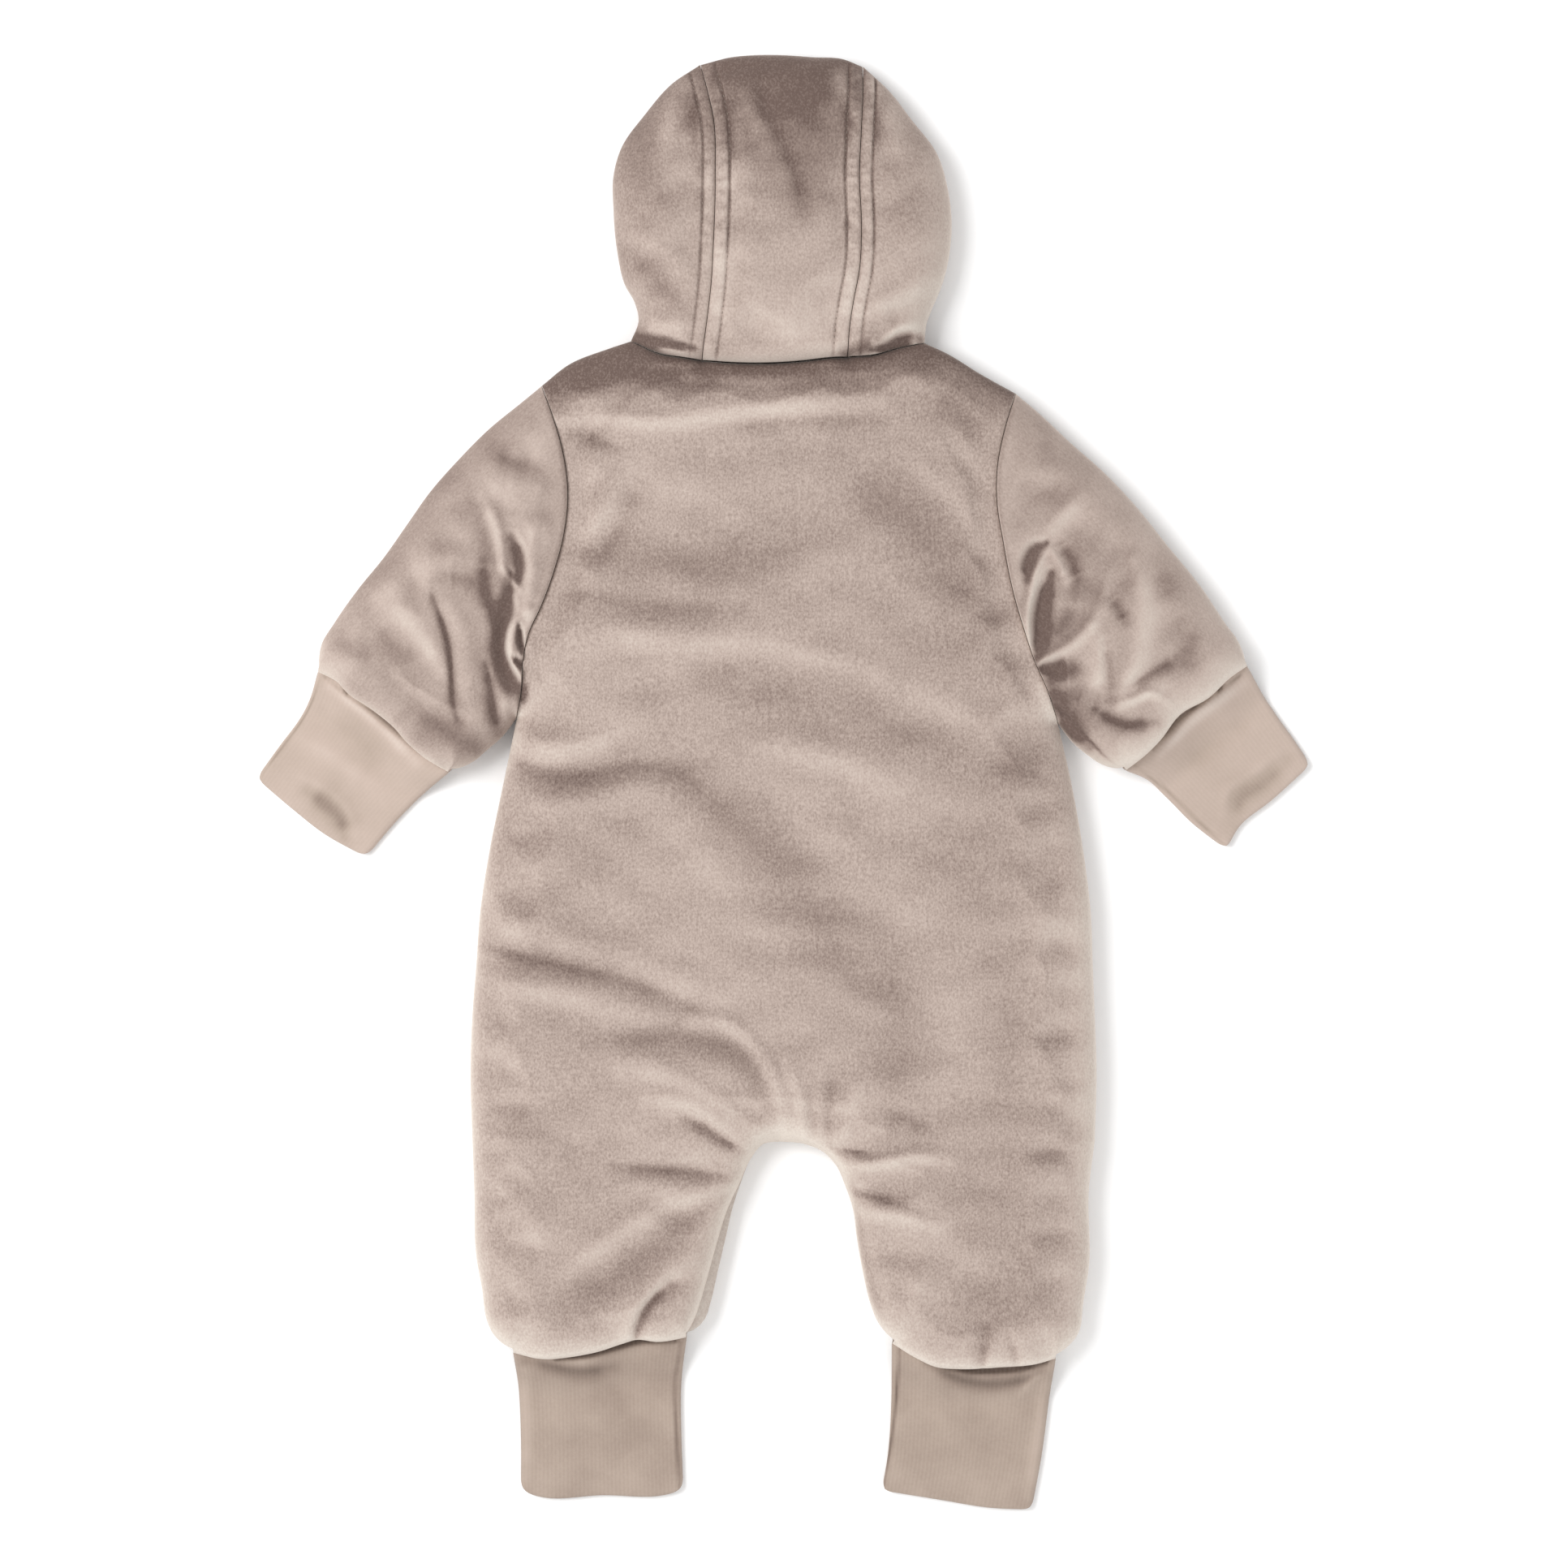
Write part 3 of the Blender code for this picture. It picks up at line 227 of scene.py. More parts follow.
def smooth(points, steps=10):
    """Points of a smooth curve through the given ones."""
    points = np.array(points, float)
    chords = np.linalg.norm(np.diff(points, axis=0), axis=1)
    slopes = np.diff(points, axis=0) / chords[:, None]
    tangents = np.vstack([slopes[:1], np.zeros((len(points) - 2, 2)), slopes[-1:]])
    for k in range(1, len(points) - 1):
        before, after = chords[k - 1], chords[k]
        tangents[k] = (slopes[k - 1] * after + slopes[k] * before) / (before + after)
    curve = []
    for k, chord in enumerate(chords):
        for t in np.arange(steps) / steps:
            start = (1 + 2 * t) * (1 - t) ** 2 * points[k] + t * (1 - t) ** 2 * chord * tangents[k]
            end = t * t * (3 - 2 * t) * points[k + 1] - t * t * (1 - t) * chord * tangents[k + 1]
            curve.append(start + end)
    return np.array(curve + [points[-1]])


def length_of(curve):
    """How long a curve is."""
    return np.linalg.norm(np.diff(curve, axis=0), axis=1).sum()


def at_shares(curve, shares):
    """Points of a curve at the given shares of its length."""
    steps = np.linalg.norm(np.diff(curve, axis=0), axis=1)
    along = np.concatenate([[0.0], np.cumsum(steps)]) / max(steps.sum(), TINY)
    return np.stack([np.interp(shares, along, curve[:, k]) for k in (0, 1)], axis=-1)


def aside(curve, distance):
    """A curve moved sideways, to the right of the way it runs."""
    way = np.gradient(curve, axis=0)
    way /= np.linalg.norm(way, axis=1)[:, None] + TINY
    return curve + distance * np.column_stack([way[:, 1], -way[:, 0]])


def joined(*curves):
    """One curve from several that follow each other."""
    return np.vstack([curves[0]] + [curve[1:] for curve in curves[1:]])


def meeting(curve, start=None, end=None, bend=3.5):
    """A curve whose ends are bent to meet given points."""
    for point, first in ((start, True), (end, False)):
        if point is not None:
            curve = curve[np.linalg.norm(curve - point, axis=1) > bend]
            curve = np.vstack([[point], curve] if first else [curve, [point]])
    return curve


def spread(length, fine_start=True, fine_end=True, cell=CELL):
    """Shares along a row of cells, which lie closer together at the seams at its ends."""
    start = np.array(NEAR_SEAM if fine_start else (0.0,))
    end = length - np.array(NEAR_SEAM if fine_end else (0.0,))[::-1]
    count = max(int(round((end[0] - start[-1]) / cell)), 1)
    middle = np.linspace(start[-1], end[0], count + 1)[1:-1]
    return np.concatenate([start, middle, end]) / length


def fill_between(top, bottom, left, right, across, down):
    """Plan points [row][column] inside four edge curves that meet at their ends.

    across holds the shares along a row, or a row of them for each share in down.
    """
    u = np.broadcast_to(across, (len(down), np.shape(across)[-1]))
    v = np.array(down)[:, None, None]
    left_at, right_at = at_shares(left, down)[:, None], at_shares(right, down)[:, None]
    wide = u[..., None]
    ruled = (1 - v) * at_shares(top, u) + v * at_shares(bottom, u)
    ruled = ruled + (1 - wide) * left_at + wide * right_at
    corners = (1 - v) * ((1 - wide) * left[0] + wide * right[0])
    return ruled - corners - v * ((1 - wide) * left[-1] + wide * right[-1])


def nearest(points, curve):
    """Distance from each point to a curve, the vector to it, the share along it, and the side.

    The side is 1 straight to the left of the curve's way, and -1 to the right. Where a tenth of a
    millimetre doesn't matter, every second point of a curve is given, which takes half the time.
    """
    flat = points.reshape(-1, 2)
    best = np.full(len(flat), np.inf)
    reach, share, side = np.zeros_like(flat), np.zeros(len(flat)), np.zeros(len(flat))
    steps = np.linalg.norm(np.diff(curve, axis=0), axis=1)
    total, passed = steps.sum(), 0.0
    for start, end, step in zip(curve, curve[1:], steps):
        t = np.clip((flat - start) @ (end - start) / max(step * step, TINY), 0, 1)
        to_curve = start + t[:, None] * (end - start) - flat
        gap = np.hypot(to_curve[:, 0], to_curve[:, 1])
        closer = gap < best
        best[closer], reach[closer] = gap[closer], to_curve[closer]
        share[closer] = (passed + t[closer] * step) / total
        way = (end - start) / max(step, TINY)
        cross = way[1] * to_curve[:, 0] - way[0] * to_curve[:, 1]
        side[closer] = (cross / (gap + TINY))[closer]
        passed += step
    shape = points.shape[:-1]
    return best.reshape(shape), reach.reshape(points.shape), share.reshape(shape), side.reshape(shape)


def fullness(points, rounds):
    """Share of the padding's height: 1 mid piece, rounded down to the lift at each edge."""
    share = np.ones(points.shape[:-1])
    for curve, (lift, radius) in rounds:
        near = np.clip(nearest(points, curve)[0] / radius, 0, 1)
        share = share * (lift + (1 - lift) * np.sqrt(1 - (1 - near) ** 2))
    return share


def folded(points, folds):
    """Height of the folds at each point, and how much lighter they are painted: painted light on ridges
    and painted shade in troughs, with brushed pile.
    """
    height, tone = np.zeros(points.shape[:-1]), np.zeros(points.shape[:-1])
    for fold in (Fold(*row) for row in folds):
        path = smooth(fold.path, 5)
        widths = np.atleast_1d(fold.width)
        room = FOLD_REACH * widths.max()
        inside = ((points > path.min(0) - room) & (points < path.max(0) + room)).all(-1)
        if inside.any():
            gap, _, share, left_of = nearest(points[inside], path)
            width = np.interp(share, np.linspace(0, 1, len(widths)), widths)
            width = width * (1 + fold.lean * left_of)
            sharpness = (RIDGE_EDGE if fold.height >= 0 else TROUGH_EDGE) + fold.crisp
            rise, least = FOLD_ENDS
            amount = np.exp(-(gap / width) ** sharpness) * np.clip(rise * share * (1 - share), least, 1)
            height[inside] += fold.height * amount
            tone[inside] += fold.tone * amount
    return height, tone


def rumpled(points, height, along, across, way=(1.0, 0.0)):
    """Soft unevenness of the cloth, in patches of a size along its way and another across it."""
    flat = points.reshape(-1, 2)
    on, off = flat @ way, flat @ (-way[1], way[0])
    values = [noise.noise(Vector((a / along, b / across, NOISE_SLICE))) for a, b in zip(on, off)]
    return height * np.array(values).reshape(points.shape[:-1])


def lipped(points, curve, lip=HEM_LIP):
    """Points near a hem moved out over it, so that the padding bulges over the cuff."""
    out, width = lip
    gap, reach, _, _ = nearest(points, curve[::2])
    way = reach / (gap[..., None] + 1e-6)
    return points + way * (out * np.sin(np.pi * np.sqrt(np.clip(gap / width, 0, 1))))[..., None]


def upper_layer(points, rounds, top, folds, pile, hems=(), low=SEAM_LEVEL + SEAM_ROLL):
    """A padded upper layer: its points in space, its pile's tone with the folds' painted shade and
    light, and how free its cloth is.
    """
    share = fullness(points, rounds)
    relief, tone = folded(points, folds)
    tone = tone + rumpled(points, pile.stroke, pile.long, pile.wide, pile.stroke_way)
    tone = tone + rumpled(points, pile.stroke / FINER[0], pile.long / FINER[1],
                          pile.wide / FINER[2], pile.stroke_way)
    fade = np.clip(share * FOLDS_IN[0] - FOLDS_IN[1], 0, 1)
    held = np.min([nearest(points, curve[::2])[0] for curve, _ in rounds], axis=0)
    level = low + (top - low) * share + fade * (relief + rumpled(points, *UNEVEN))
    for hem in hems:
        points = lipped(points, hem)
    return Layer(np.dstack([points, level]), tone * np.clip(share * TONE_IN[0], TONE_IN[1], 1),
                 fade * np.clip(held / SEAM_HOLD - HELD_STILL, 0, 1))


def strip(first, second):
    """A strip of cells that closes a piece between two rows of points, and which no force moves."""
    rows = np.stack([first, second])
    return Layer(rows, np.zeros(rows.shape[:2]), np.zeros(rows.shape[:2]))


def sewn(*layers):
    """Points, faces and values of layers that share edges, with each shared point once."""
    numbers_at, points, faces, tones, free = {}, [], [], [], []
    for layer in layers:
        numbers = np.empty(layer.points.shape[:2], int)
        for index in np.ndindex(*numbers.shape):
            key = tuple(np.round(layer.points[index] / SAME_POINT).astype(int))
            if key not in numbers_at:
                numbers_at[key] = len(points)
                points.append(layer.points[index])
                tones.append(layer.tone[index])
                free.append(layer.free[index])
            numbers[index] = numbers_at[key]
        quads = np.stack([numbers[:-1, :-1], numbers[1:, :-1], numbers[1:, 1:], numbers[:-1, 1:]],
                         axis=-1).reshape(-1, 4).tolist()
        quads = [list(dict.fromkeys(quad)) for quad in quads]
        faces += [quad for quad in quads if len(quad) > 2]
    return points, faces, tones, free


def hex_linear(code):
    """An sRGB hex colour as linear values."""
    parts = [int(code[k:k + 2], 16) / 255 for k in (1, 3, 5)]
    return tuple(p / 12.92 if p <= 0.04045 else ((p + 0.055) / 1.055) ** 2.4 for p in parts)


def add_node(tree, kind, links=(), **settings):
    """A node with its settings, and its inputs fed by values or by other nodes' outputs."""
    node = tree.nodes.new(kind)
    for name, value in settings.items():
        setattr(node, name, value)
    for socket, value in dict(links).items():
        if isinstance(value, bpy.types.NodeSocket):
            tree.links.new(value, node.inputs[socket])
        else:
            node.inputs[socket].default_value = value
    return node


def through_tones(tree, value, tones):
    """A colour that follows a value through (place, hex colour) tones."""
    node = add_node(tree, "ShaderNodeValToRGB", {0: value})
    ramp = node.color_ramp
    while len(ramp.elements) < len(tones):
        ramp.elements.new(0.5)
    for element, (place, code) in zip(ramp.elements, tones):
        element.position = place
        element.color = (*hex_linear(code), 1)
    return node.outputs[0]


def new_material(name, roughness):
    """A material, its nodes and its shader, which has the roughness of cloth or plastic."""
    material = bpy.data.materials.new(name)
    material.use_nodes = True
    shader = material.node_tree.nodes["Principled BSDF"]
    shader.inputs["Roughness"].default_value = roughness
    return material, material.node_tree, shader


def patterned(name, roughness, scale, tones, bump=None, bands=None, distortion=0.0):
    """A material with one fine pattern, mottled or in bands, in its colour and in its relief."""
    material, tree, shader = new_material(name, roughness)
    place = add_node(tree, "ShaderNodeTexCoord").outputs["Object"]
    if bands:
        pattern = add_node(tree, "ShaderNodeTexWave", {"Vector": place, "Scale": scale,
                                                       "Distortion": distortion}, bands_direction=bands)
        value = pattern.outputs[1]
    else:
        value = add_node(tree, "ShaderNodeTexNoise", {"Vector": place, "Scale": scale}).outputs[0]
    tree.links.new(through_tones(tree, value, tones), shader.inputs["Base Color"])
    if bump:
        relief = add_node(tree, "ShaderNodeBump", {"Height": value, "Strength": bump[0],
                                                   "Distance": bump[1] * MM})
        tree.links.new(relief.outputs[0], shader.inputs["Normal"])
    return material


# Cotton velour: a cut pile about 1 mm deep on a knit ground, matt, with a soft sheen. The pile's
# speckle is about 0.7 mm, drawn a little coarser than the real one so that it shows. The knit's
# wales and courses show through it as broken lines 1 to 2 mm apart, along the "grain" attribute.
# The pile's tone attribute is mostly painted light and shade, from 0, darkest, to 1, lightest:
# darker where the cloth tilts to the hood and in the folds' troughs, lighter where it tilts to the
# feet, on ridges and in a painted highlight along rounded edges, with brushed strokes of pile over
# it. The "rough" attribute says how much the pile stands up.
VELOUR_TONES = ((0.0, "#64544E"), (0.25, "#8C7C74"), (0.5, "#B0A097"), (0.75, "#C5B8AE"),
                (1.0, "#D5CBC1"))
Texture = namedtuple("Texture", "strength scale stretch")
VELOUR_TEXTURES = (
    Texture(0.58, 980.0, (1, 0.66, 1)),      # the pile's speckle, a little longer along it
    Texture(0.04, 300.0, (1, 1, 1)),         # tufts that lean a little this way and that
    Texture(0.10, 640.0, (1, 0.10, 0.5)),    # wales, along the piece
    Texture(0.09, 720.0, (0.12, 1, 0.5)),    # courses, across it
)
velour, tree, shader = new_material("cotton_velour", 0.95)
grain = add_node(tree, "ShaderNodeAttribute", attribute_name="grain").outputs["Vector"]
tone = 0.0
for texture in VELOUR_TEXTURES:
    stretched = add_node(tree, "ShaderNodeMapping", {"Vector": grain, "Scale": texture.stretch})
    pattern = add_node(tree, "ShaderNodeTexNoise", {"Vector": stretched.outputs[0], "Detail": 2.0,
                                                    "Scale": texture.scale, "Roughness": 0.6})
    speckle = pattern if texture is VELOUR_TEXTURES[0] else speckle
    centred = add_node(tree, "ShaderNodeMath", {0: pattern.outputs[0], 1: -0.5}, operation="ADD")
    tone = add_node(tree, "ShaderNodeMath", {0: centred.outputs[0], 1: texture.strength, 2: tone},
                    operation="MULTIPLY_ADD").outputs[0]
nap_and_painted_light = add_node(tree, "ShaderNodeAttribute", attribute_name="nap_and_painted_light").outputs["Fac"]
rough = add_node(tree, "ShaderNodeAttribute", attribute_name="rough").outputs["Fac"]
tone = add_node(tree, "ShaderNodeMath", {0: tone, 1: rough, 2: nap_and_painted_light}, operation="MULTIPLY_ADD")
tree.links.new(through_tones(tree, tone.outputs[0], VELOUR_TONES), shader.inputs["Base Color"])
pile = add_node(tree, "ShaderNodeBump",
                {"Height": speckle.outputs[0], "Strength": 0.4, "Distance": 0.5 * MM})
tree.links.new(pile.outputs[0], shader.inputs["Normal"])
shader.inputs["Specular IOR Level"].default_value = 0.1
shader.inputs["Sheen Weight"].default_value = 0.4
shader.inputs["Sheen Roughness"].default_value = 0.35
shader.inputs["Sheen Tint"].default_value = (*hex_linear("#F4E9E0"), 1)
TILT_PAINTED_SHADE = 0.62          # how strongly painted shade and light follow the cloth's tilt along the pile: darker towards the hood, lighter towards the feet
PAINTED_SHADE_AND_STROKES = 0.33       # how strongly the folds' painted shade and light and the brushed strokes show
NAP_RANGE = (0.02, 0.98)
RIM_HIGHLIGHT_POWER = 1.5          # how narrow the painted highlight along a rounded edge is
RIM_HIGHLIGHT_TILT = 1.2           # how soon that painted highlight is lost where the cloth turns against its pile

# How the wadding blows the cloth up: size of a cell of the coarse copy, pressure, share that the
# cloth shrinks by, frames run, how many points of the copy move one of the fine cloth and how near
# they are, and the most that a point moves
Blown = namedtuple("Blown", "cell pressure give frames points near cap")
BLOWN = Blown(6, 4, 0.008, 20, 8, 5, 2.0)


def give_values(mesh, name, values):
    """Numbers or vectors at a mesh's points, under a name that a material reads."""
    values = np.array(values, np.float32)
    kind, field = (("FLOAT", "value"), ("FLOAT_VECTOR", "vector"))[values.ndim - 1]
    mesh.attributes.new(name, kind, "POINT").data.foreach_set(field, values.ravel())


def add_piece(name, points, faces, material, values=()):
    """A mesh piece in metres with its faces outwards, and named values at its points."""
    mesh = bpy.data.meshes.new(name)
    mesh.from_pydata(MM * np.array(points), [], faces)
    shape = bmesh.new()
    shape.from_mesh(mesh)
    bmesh.ops.recalc_face_normals(shape, faces=shape.faces)
    bmesh.ops.triangulate(shape, faces=[face for face in shape.faces if len(face.verts) > 4])
    shape.to_mesh(mesh)
    shape.free()
    mesh.materials.append(material)
    mesh.shade_smooth()
    for value_name, at_points in dict(values).items():
        every = np.zeros(len(mesh.vertices), np.float32)
        every[:len(at_points)] = at_points
        give_values(mesh, value_name, every)
    piece = bpy.data.objects.new(name, mesh)
    bpy.context.scene.collection.objects.link(piece)
    return piece


def all_of(items, name, width=1):
    """A value of every vertex or data item, as one array."""
    values = np.zeros(len(items) * width, np.float32)
    items.foreach_get(name, values)
    return values.reshape(-1, width) if width > 1 else values


def settle(piece):
    """Wadding pushes the cloth out between its seams, and the spare cloth puckers.

    Blender's cloth blows up a coarse copy of the piece, held at its seams, with gravity off. The
    copy's movement, evened out and no more than the cap, is added to the fine cloth.
    """
    mesh = piece.data
    fine, free = all_of(mesh.vertices, "co", 3), all_of(mesh.attributes["free"].data, "value")
    coarse = piece.copy()
    coarse.data = mesh.copy()
    coarse.data.materials.clear()
    bpy.context.scene.collection.objects.link(coarse)
    bpy.context.view_layer.objects.active = coarse
    remesh = coarse.modifiers.new("coarse", "REMESH")
    remesh.mode, remesh.voxel_size = "VOXEL", BLOWN.cell * MM
    bpy.ops.object.modifier_apply(modifier="coarse")
    fine_tree = kdtree.KDTree(len(fine))
    for number, point in enumerate(fine):
        fine_tree.insert(point, number)
    fine_tree.balance()
    before = all_of(coarse.data.vertices, "co", 3)
    held = [number for number, point in enumerate(before) if free[fine_tree.find(point)[1]] < 0.5]
    coarse.vertex_groups.new(name="sewn").add(held, 1.0, "REPLACE")
    cloth = coarse.modifiers.new("cloth", "CLOTH")
    cloth.settings.vertex_group_mass = "sewn"
    cloth.settings.use_pressure = True
    cloth.settings.uniform_pressure_force = BLOWN.pressure
    cloth.settings.shrink_min = -BLOWN.give
    cloth.settings.effector_weights.gravity = 0
    cloth.point_cache.frame_start, cloth.point_cache.frame_end = 1, BLOWN.frames
    for number in range(1, BLOWN.frames + 1):
        bpy.context.scene.frame_set(number)
    blown = coarse.evaluated_get(bpy.context.evaluated_depsgraph_get())
    moves = all_of(blown.data.vertices, "co", 3) - before
    bpy.data.objects.remove(coarse)
    bpy.context.scene.frame_set(1)
    coarse_tree = kdtree.KDTree(len(before))
    for number, point in enumerate(before):
        coarse_tree.insert(point, number)
    coarse_tree.balance()
    for number in np.nonzero(free > 0)[0]:
        near = coarse_tree.find_n(fine[number], BLOWN.points)
        gaps = np.array([gap for _, _, gap in near])
        weights = np.exp(-(gaps / (BLOWN.near * MM)) ** 2) + TINY
        move = weights @ moves[[index for _, index, _ in near]] / weights.sum()
        size = np.linalg.norm(move)
        fine[number] += move * free[number] * min(1, BLOWN.cap * MM / max(size, TINY))
    mesh.vertices.foreach_set("co", fine.ravel())
    mesh.update()


def pile_and_painted_light(piece, pile):
    """The pile's tone: painted shade and light from the cloth's tilt, a painted highlight along rounded
    edges, and the folds' painted shade and light with the brushed strokes.
    """
    mesh = piece.data
    normals = all_of(mesh.vertex_normals, "vector", 3)
    # painted shade and light from the cloth's tilt along the pile
    tilt = normals[:, :2] @ np.array(pile.way)
    way = np.array(pile.way) / np.hypot(*pile.way)
    # a painted highlight along rounded edges
    rim = (1 - np.abs(normals[:, 2])) ** RIM_HIGHLIGHT_POWER * np.clip(1 + RIM_HIGHLIGHT_TILT * tilt, 0, 1)
    # the folds' painted shade and light, with the brushed strokes of pile
    painted_folds_and_strokes = all_of(mesh.attributes["tone"].data, "value")
    lie = pile.level + TILT_PAINTED_SHADE * tilt + pile.rim * rim + PAINTED_SHADE_AND_STROKES * painted_folds_and_strokes
    give_values(mesh, "nap_and_painted_light", np.clip(lie, *NAP_RANGE))
    give_values(mesh, "rough", np.full(len(lie), pile.rough))
    grain = all_of(mesh.vertices, "co", 3)
    grain[:, :2] = grain[:, :2] @ np.array([(-way[1], way[0]), way]).T
    give_values(mesh, "grain", grain)


def flat_backed(name, layers, level):
    """A padded velour piece: its face, a rim down or up to one level, and a flat back there."""
    points, faces, tones, free = sewn(*layers)
    ways = {(start, end) for face in faces for start, end in zip(face, face[1:] + face[:1])}
    after = {start: end for start, end in ways if (end, start) not in ways}
    loop = [min(after)]
    while after[loop[-1]] != loop[0]:
        loop.append(after[loop[-1]])
    base = len(points)
    points += [(points[k][0], points[k][1], level) for k in loop]
    for k, start in enumerate(loop):
        following = (k + 1) % len(loop)
        faces.append([loop[following], start, base + k, base + following])
    faces.append([base + k for k in range(len(loop))][::-1])
    return add_piece(name, points, faces, velour, {"tone": tones, "free": free})


def finish_velour(piece, node, pile=BACK_PILE):
    """Settle a padded velour piece, give its pile its tone and painted light, hide the solid it stands
    for and attach it to the root body.
    """
    settle(piece)
    pile_and_painted_light(piece, pile)
    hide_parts(node)
    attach(piece, "root")


def hem_seam(side):
    """The seam under a leg's hem, from its outer side to its inner side."""
    return aside(smooth(side.hem), -side.near * HEM_SET_IN)


def edge_rounds(side, neck, hem, outer, inner, rounds):
    """The edges of one half of a body panel, each with how the padding rounds off there."""
    edges = {"shoulder": smooth(side.shoulder), "neck": neck, "armhole": smooth(side.armhole),
             "hem": hem, "flank": joined(smooth(side.flank), outer), "inseam": inner}
    return [(edge, rounds[name]) for name, edge in edges.items()]


left, right = BODY["left"], BODY["right"]
flanks = [joined(aside(smooth(side.armhole), -side.near * INSET), smooth(side.flank))
          for side in (left, right)]
top = joined(smooth(left.shoulder), aside(smooth(left.neck), INSET),
             aside(smooth(NECK_CENTER), INSET), aside(smooth(right.neck[::-1]), INSET),
             smooth(right.shoulder[::-1]))
level = np.array([left.flank[-1], CROTCH, right.flank[-1]], float)
crotch_share = length_of(level[:2]) / length_of(level)
half = spread(length_of(level[:2]))
across = np.concatenate([half * crotch_share, crotch_share + half[1:] * (1 - crotch_share)])
down = spread(length_of(flanks[0]), fine_end=False)
plans = [fill_between(top, level, meeting(flanks[0], start=top[0]),
                      meeting(flanks[1], start=top[-1]), across, down)]
rounds = [(aside(smooth(NECK_CENTER), INSET), BACK_ROUND["neck"])]
leg_down = spread(length_of(smooth(left.leg)), fine_start=False)
for side, waist in ((left, level[:2]), (right, level[1:])):
    hem = hem_seam(side)
    outer = meeting(smooth(side.leg), end=hem[0])
    inner = meeting(smooth(side.inseam), end=hem[-1])
    edges = (outer, inner) if side is left else (inner, outer)
    plans.append(fill_between(waist, hem if side is left else hem[::-1], *edges, half, leg_down))
    rounds += edge_rounds(side, smooth(side.neck), hem, outer, inner, BACK_ROUND)
hems = [hem_seam(left), hem_seam(right)]
layers = [upper_layer(plan, rounds, BACK_TOP, BACK_FOLDS, BACK_PILE, hems) for plan in plans]
back = flat_backed("back_velour", layers, SEAM_LEVEL + INSET)
finish_velour(back, "back_panel")

# ------------------------------------------------------------------------------------------------
# Fronts. Two panels of the same padded velour, each cut in one with its leg. They lie flat on the
# surface under the back, with the zip sewn between them from the neck down, and meet below it.
ZIP_X = -1.0
ZIP_HALF = 5.0           # from the zip's middle to the front panels' edges
ZIP_END = -118.0
FRONT_CELL = 3.0
FRONT_PILE = BACK_PILE._replace(level=0.52)
BELOW_ZIP = 6            # from the zip's end to where the fronts meet
TROUGH_LEFT = 0.6        # how much of a fold's trough shows on the side that rests on the surface
TROUGHS_IN = (1.6, 0.5)  # and it shows from 0.31 of the padding's height, and fully from 0.94 of it
FLAT = 0.02              # a level below this rests on the surface
FRONT_NECK = {"left": ((-79, 229), (-64, 222), (-48, 214), (-30, 209), (-6, 207)),
              "right": ((73, 228), (60, 225), (46, 216), (28, 209), (4, 207))}
LEFT_FRONT_INSEAM = (CROTCH, (-10, -186), (-17, -194), (-22, -206), (-26, -218), (-30, -235),
                     (-34, -252), (-38, -269), (-42, -280), (-50, -286))
FRONT_ROUND = {"shoulder": Round(0, 18), "neck": Round(0.4, 8), "armhole": Round(0.6, 7),
               "flank": Round(0, 20), "inseam": Round(0, 16), "hem": Round(0, 11),
               "zip": Round(0, 10)}


def lower_layer(points, rounds, folds, hems=(), high=SEAM_LEVEL - SEAM_ROLL):
    """A padded layer that rests on the surface: flat there, with the folds' troughs above it."""
    share = fullness(points, rounds)
    troughs = TROUGH_LEFT * np.clip(-folded(points, folds)[0], 0, None)
    fade = np.clip(share * TROUGHS_IN[0] - TROUGHS_IN[1], 0, 1)
    level = high * (1 - share) + fade * troughs
    level[level < FLAT] = 0
    for hem in hems:
        points = lipped(points, hem)
    return Layer(np.dstack([points, level]), np.zeros(share.shape), np.zeros(share.shape))


for name, side in BODY.items():
    near = side.near
    neck = aside(smooth(FRONT_NECK[name]), near * INSET)
    neck[-1, 0] = ZIP_X - near * ZIP_HALF
    zip_edge = np.array([neck[-1], (neck[-1, 0], ZIP_END)])
    middle = np.vstack([zip_edge, [(ZIP_X - near * INSET, ZIP_END - BELOW_ZIP),
                                   (ZIP_X - near * INSET, CROTCH[1])]])
    flank = joined(aside(smooth(side.armhole), -near * INSET), smooth(side.flank))
    top = joined(smooth(side.shoulder), neck)
    waist = np.array([side.flank[-1], middle[-1]], float)
    hem = hem_seam(side)
    outer = meeting(smooth(side.leg), end=hem[0])
    inner = meeting(smooth(LEFT_FRONT_INSEAM if side is left else side.inseam), middle[-1], hem[-1])
    across = spread(length_of(waist), cell=FRONT_CELL)
    rounds = edge_rounds(side, neck, hem, outer, inner, FRONT_ROUND)
    rounds.append((at_shares(zip_edge, np.linspace(0, 1, 9)), FRONT_ROUND["zip"]))
    plans = [fill_between(top, waist, meeting(flank, start=top[0]), middle, across,
                          spread(length_of(flank), fine_end=False, cell=FRONT_CELL)),
             fill_between(waist, hem, outer, inner, across,
                          spread(length_of(outer), fine_start=False, cell=FRONT_CELL))]
    layers = [lower_layer(plan, rounds, BACK_FOLDS, [hem]) for plan in plans]
    front = flat_backed("front_" + name + "_velour", layers, SEAM_LEVEL - INSET)
    finish_velour(front, "front_" + name, FRONT_PILE)

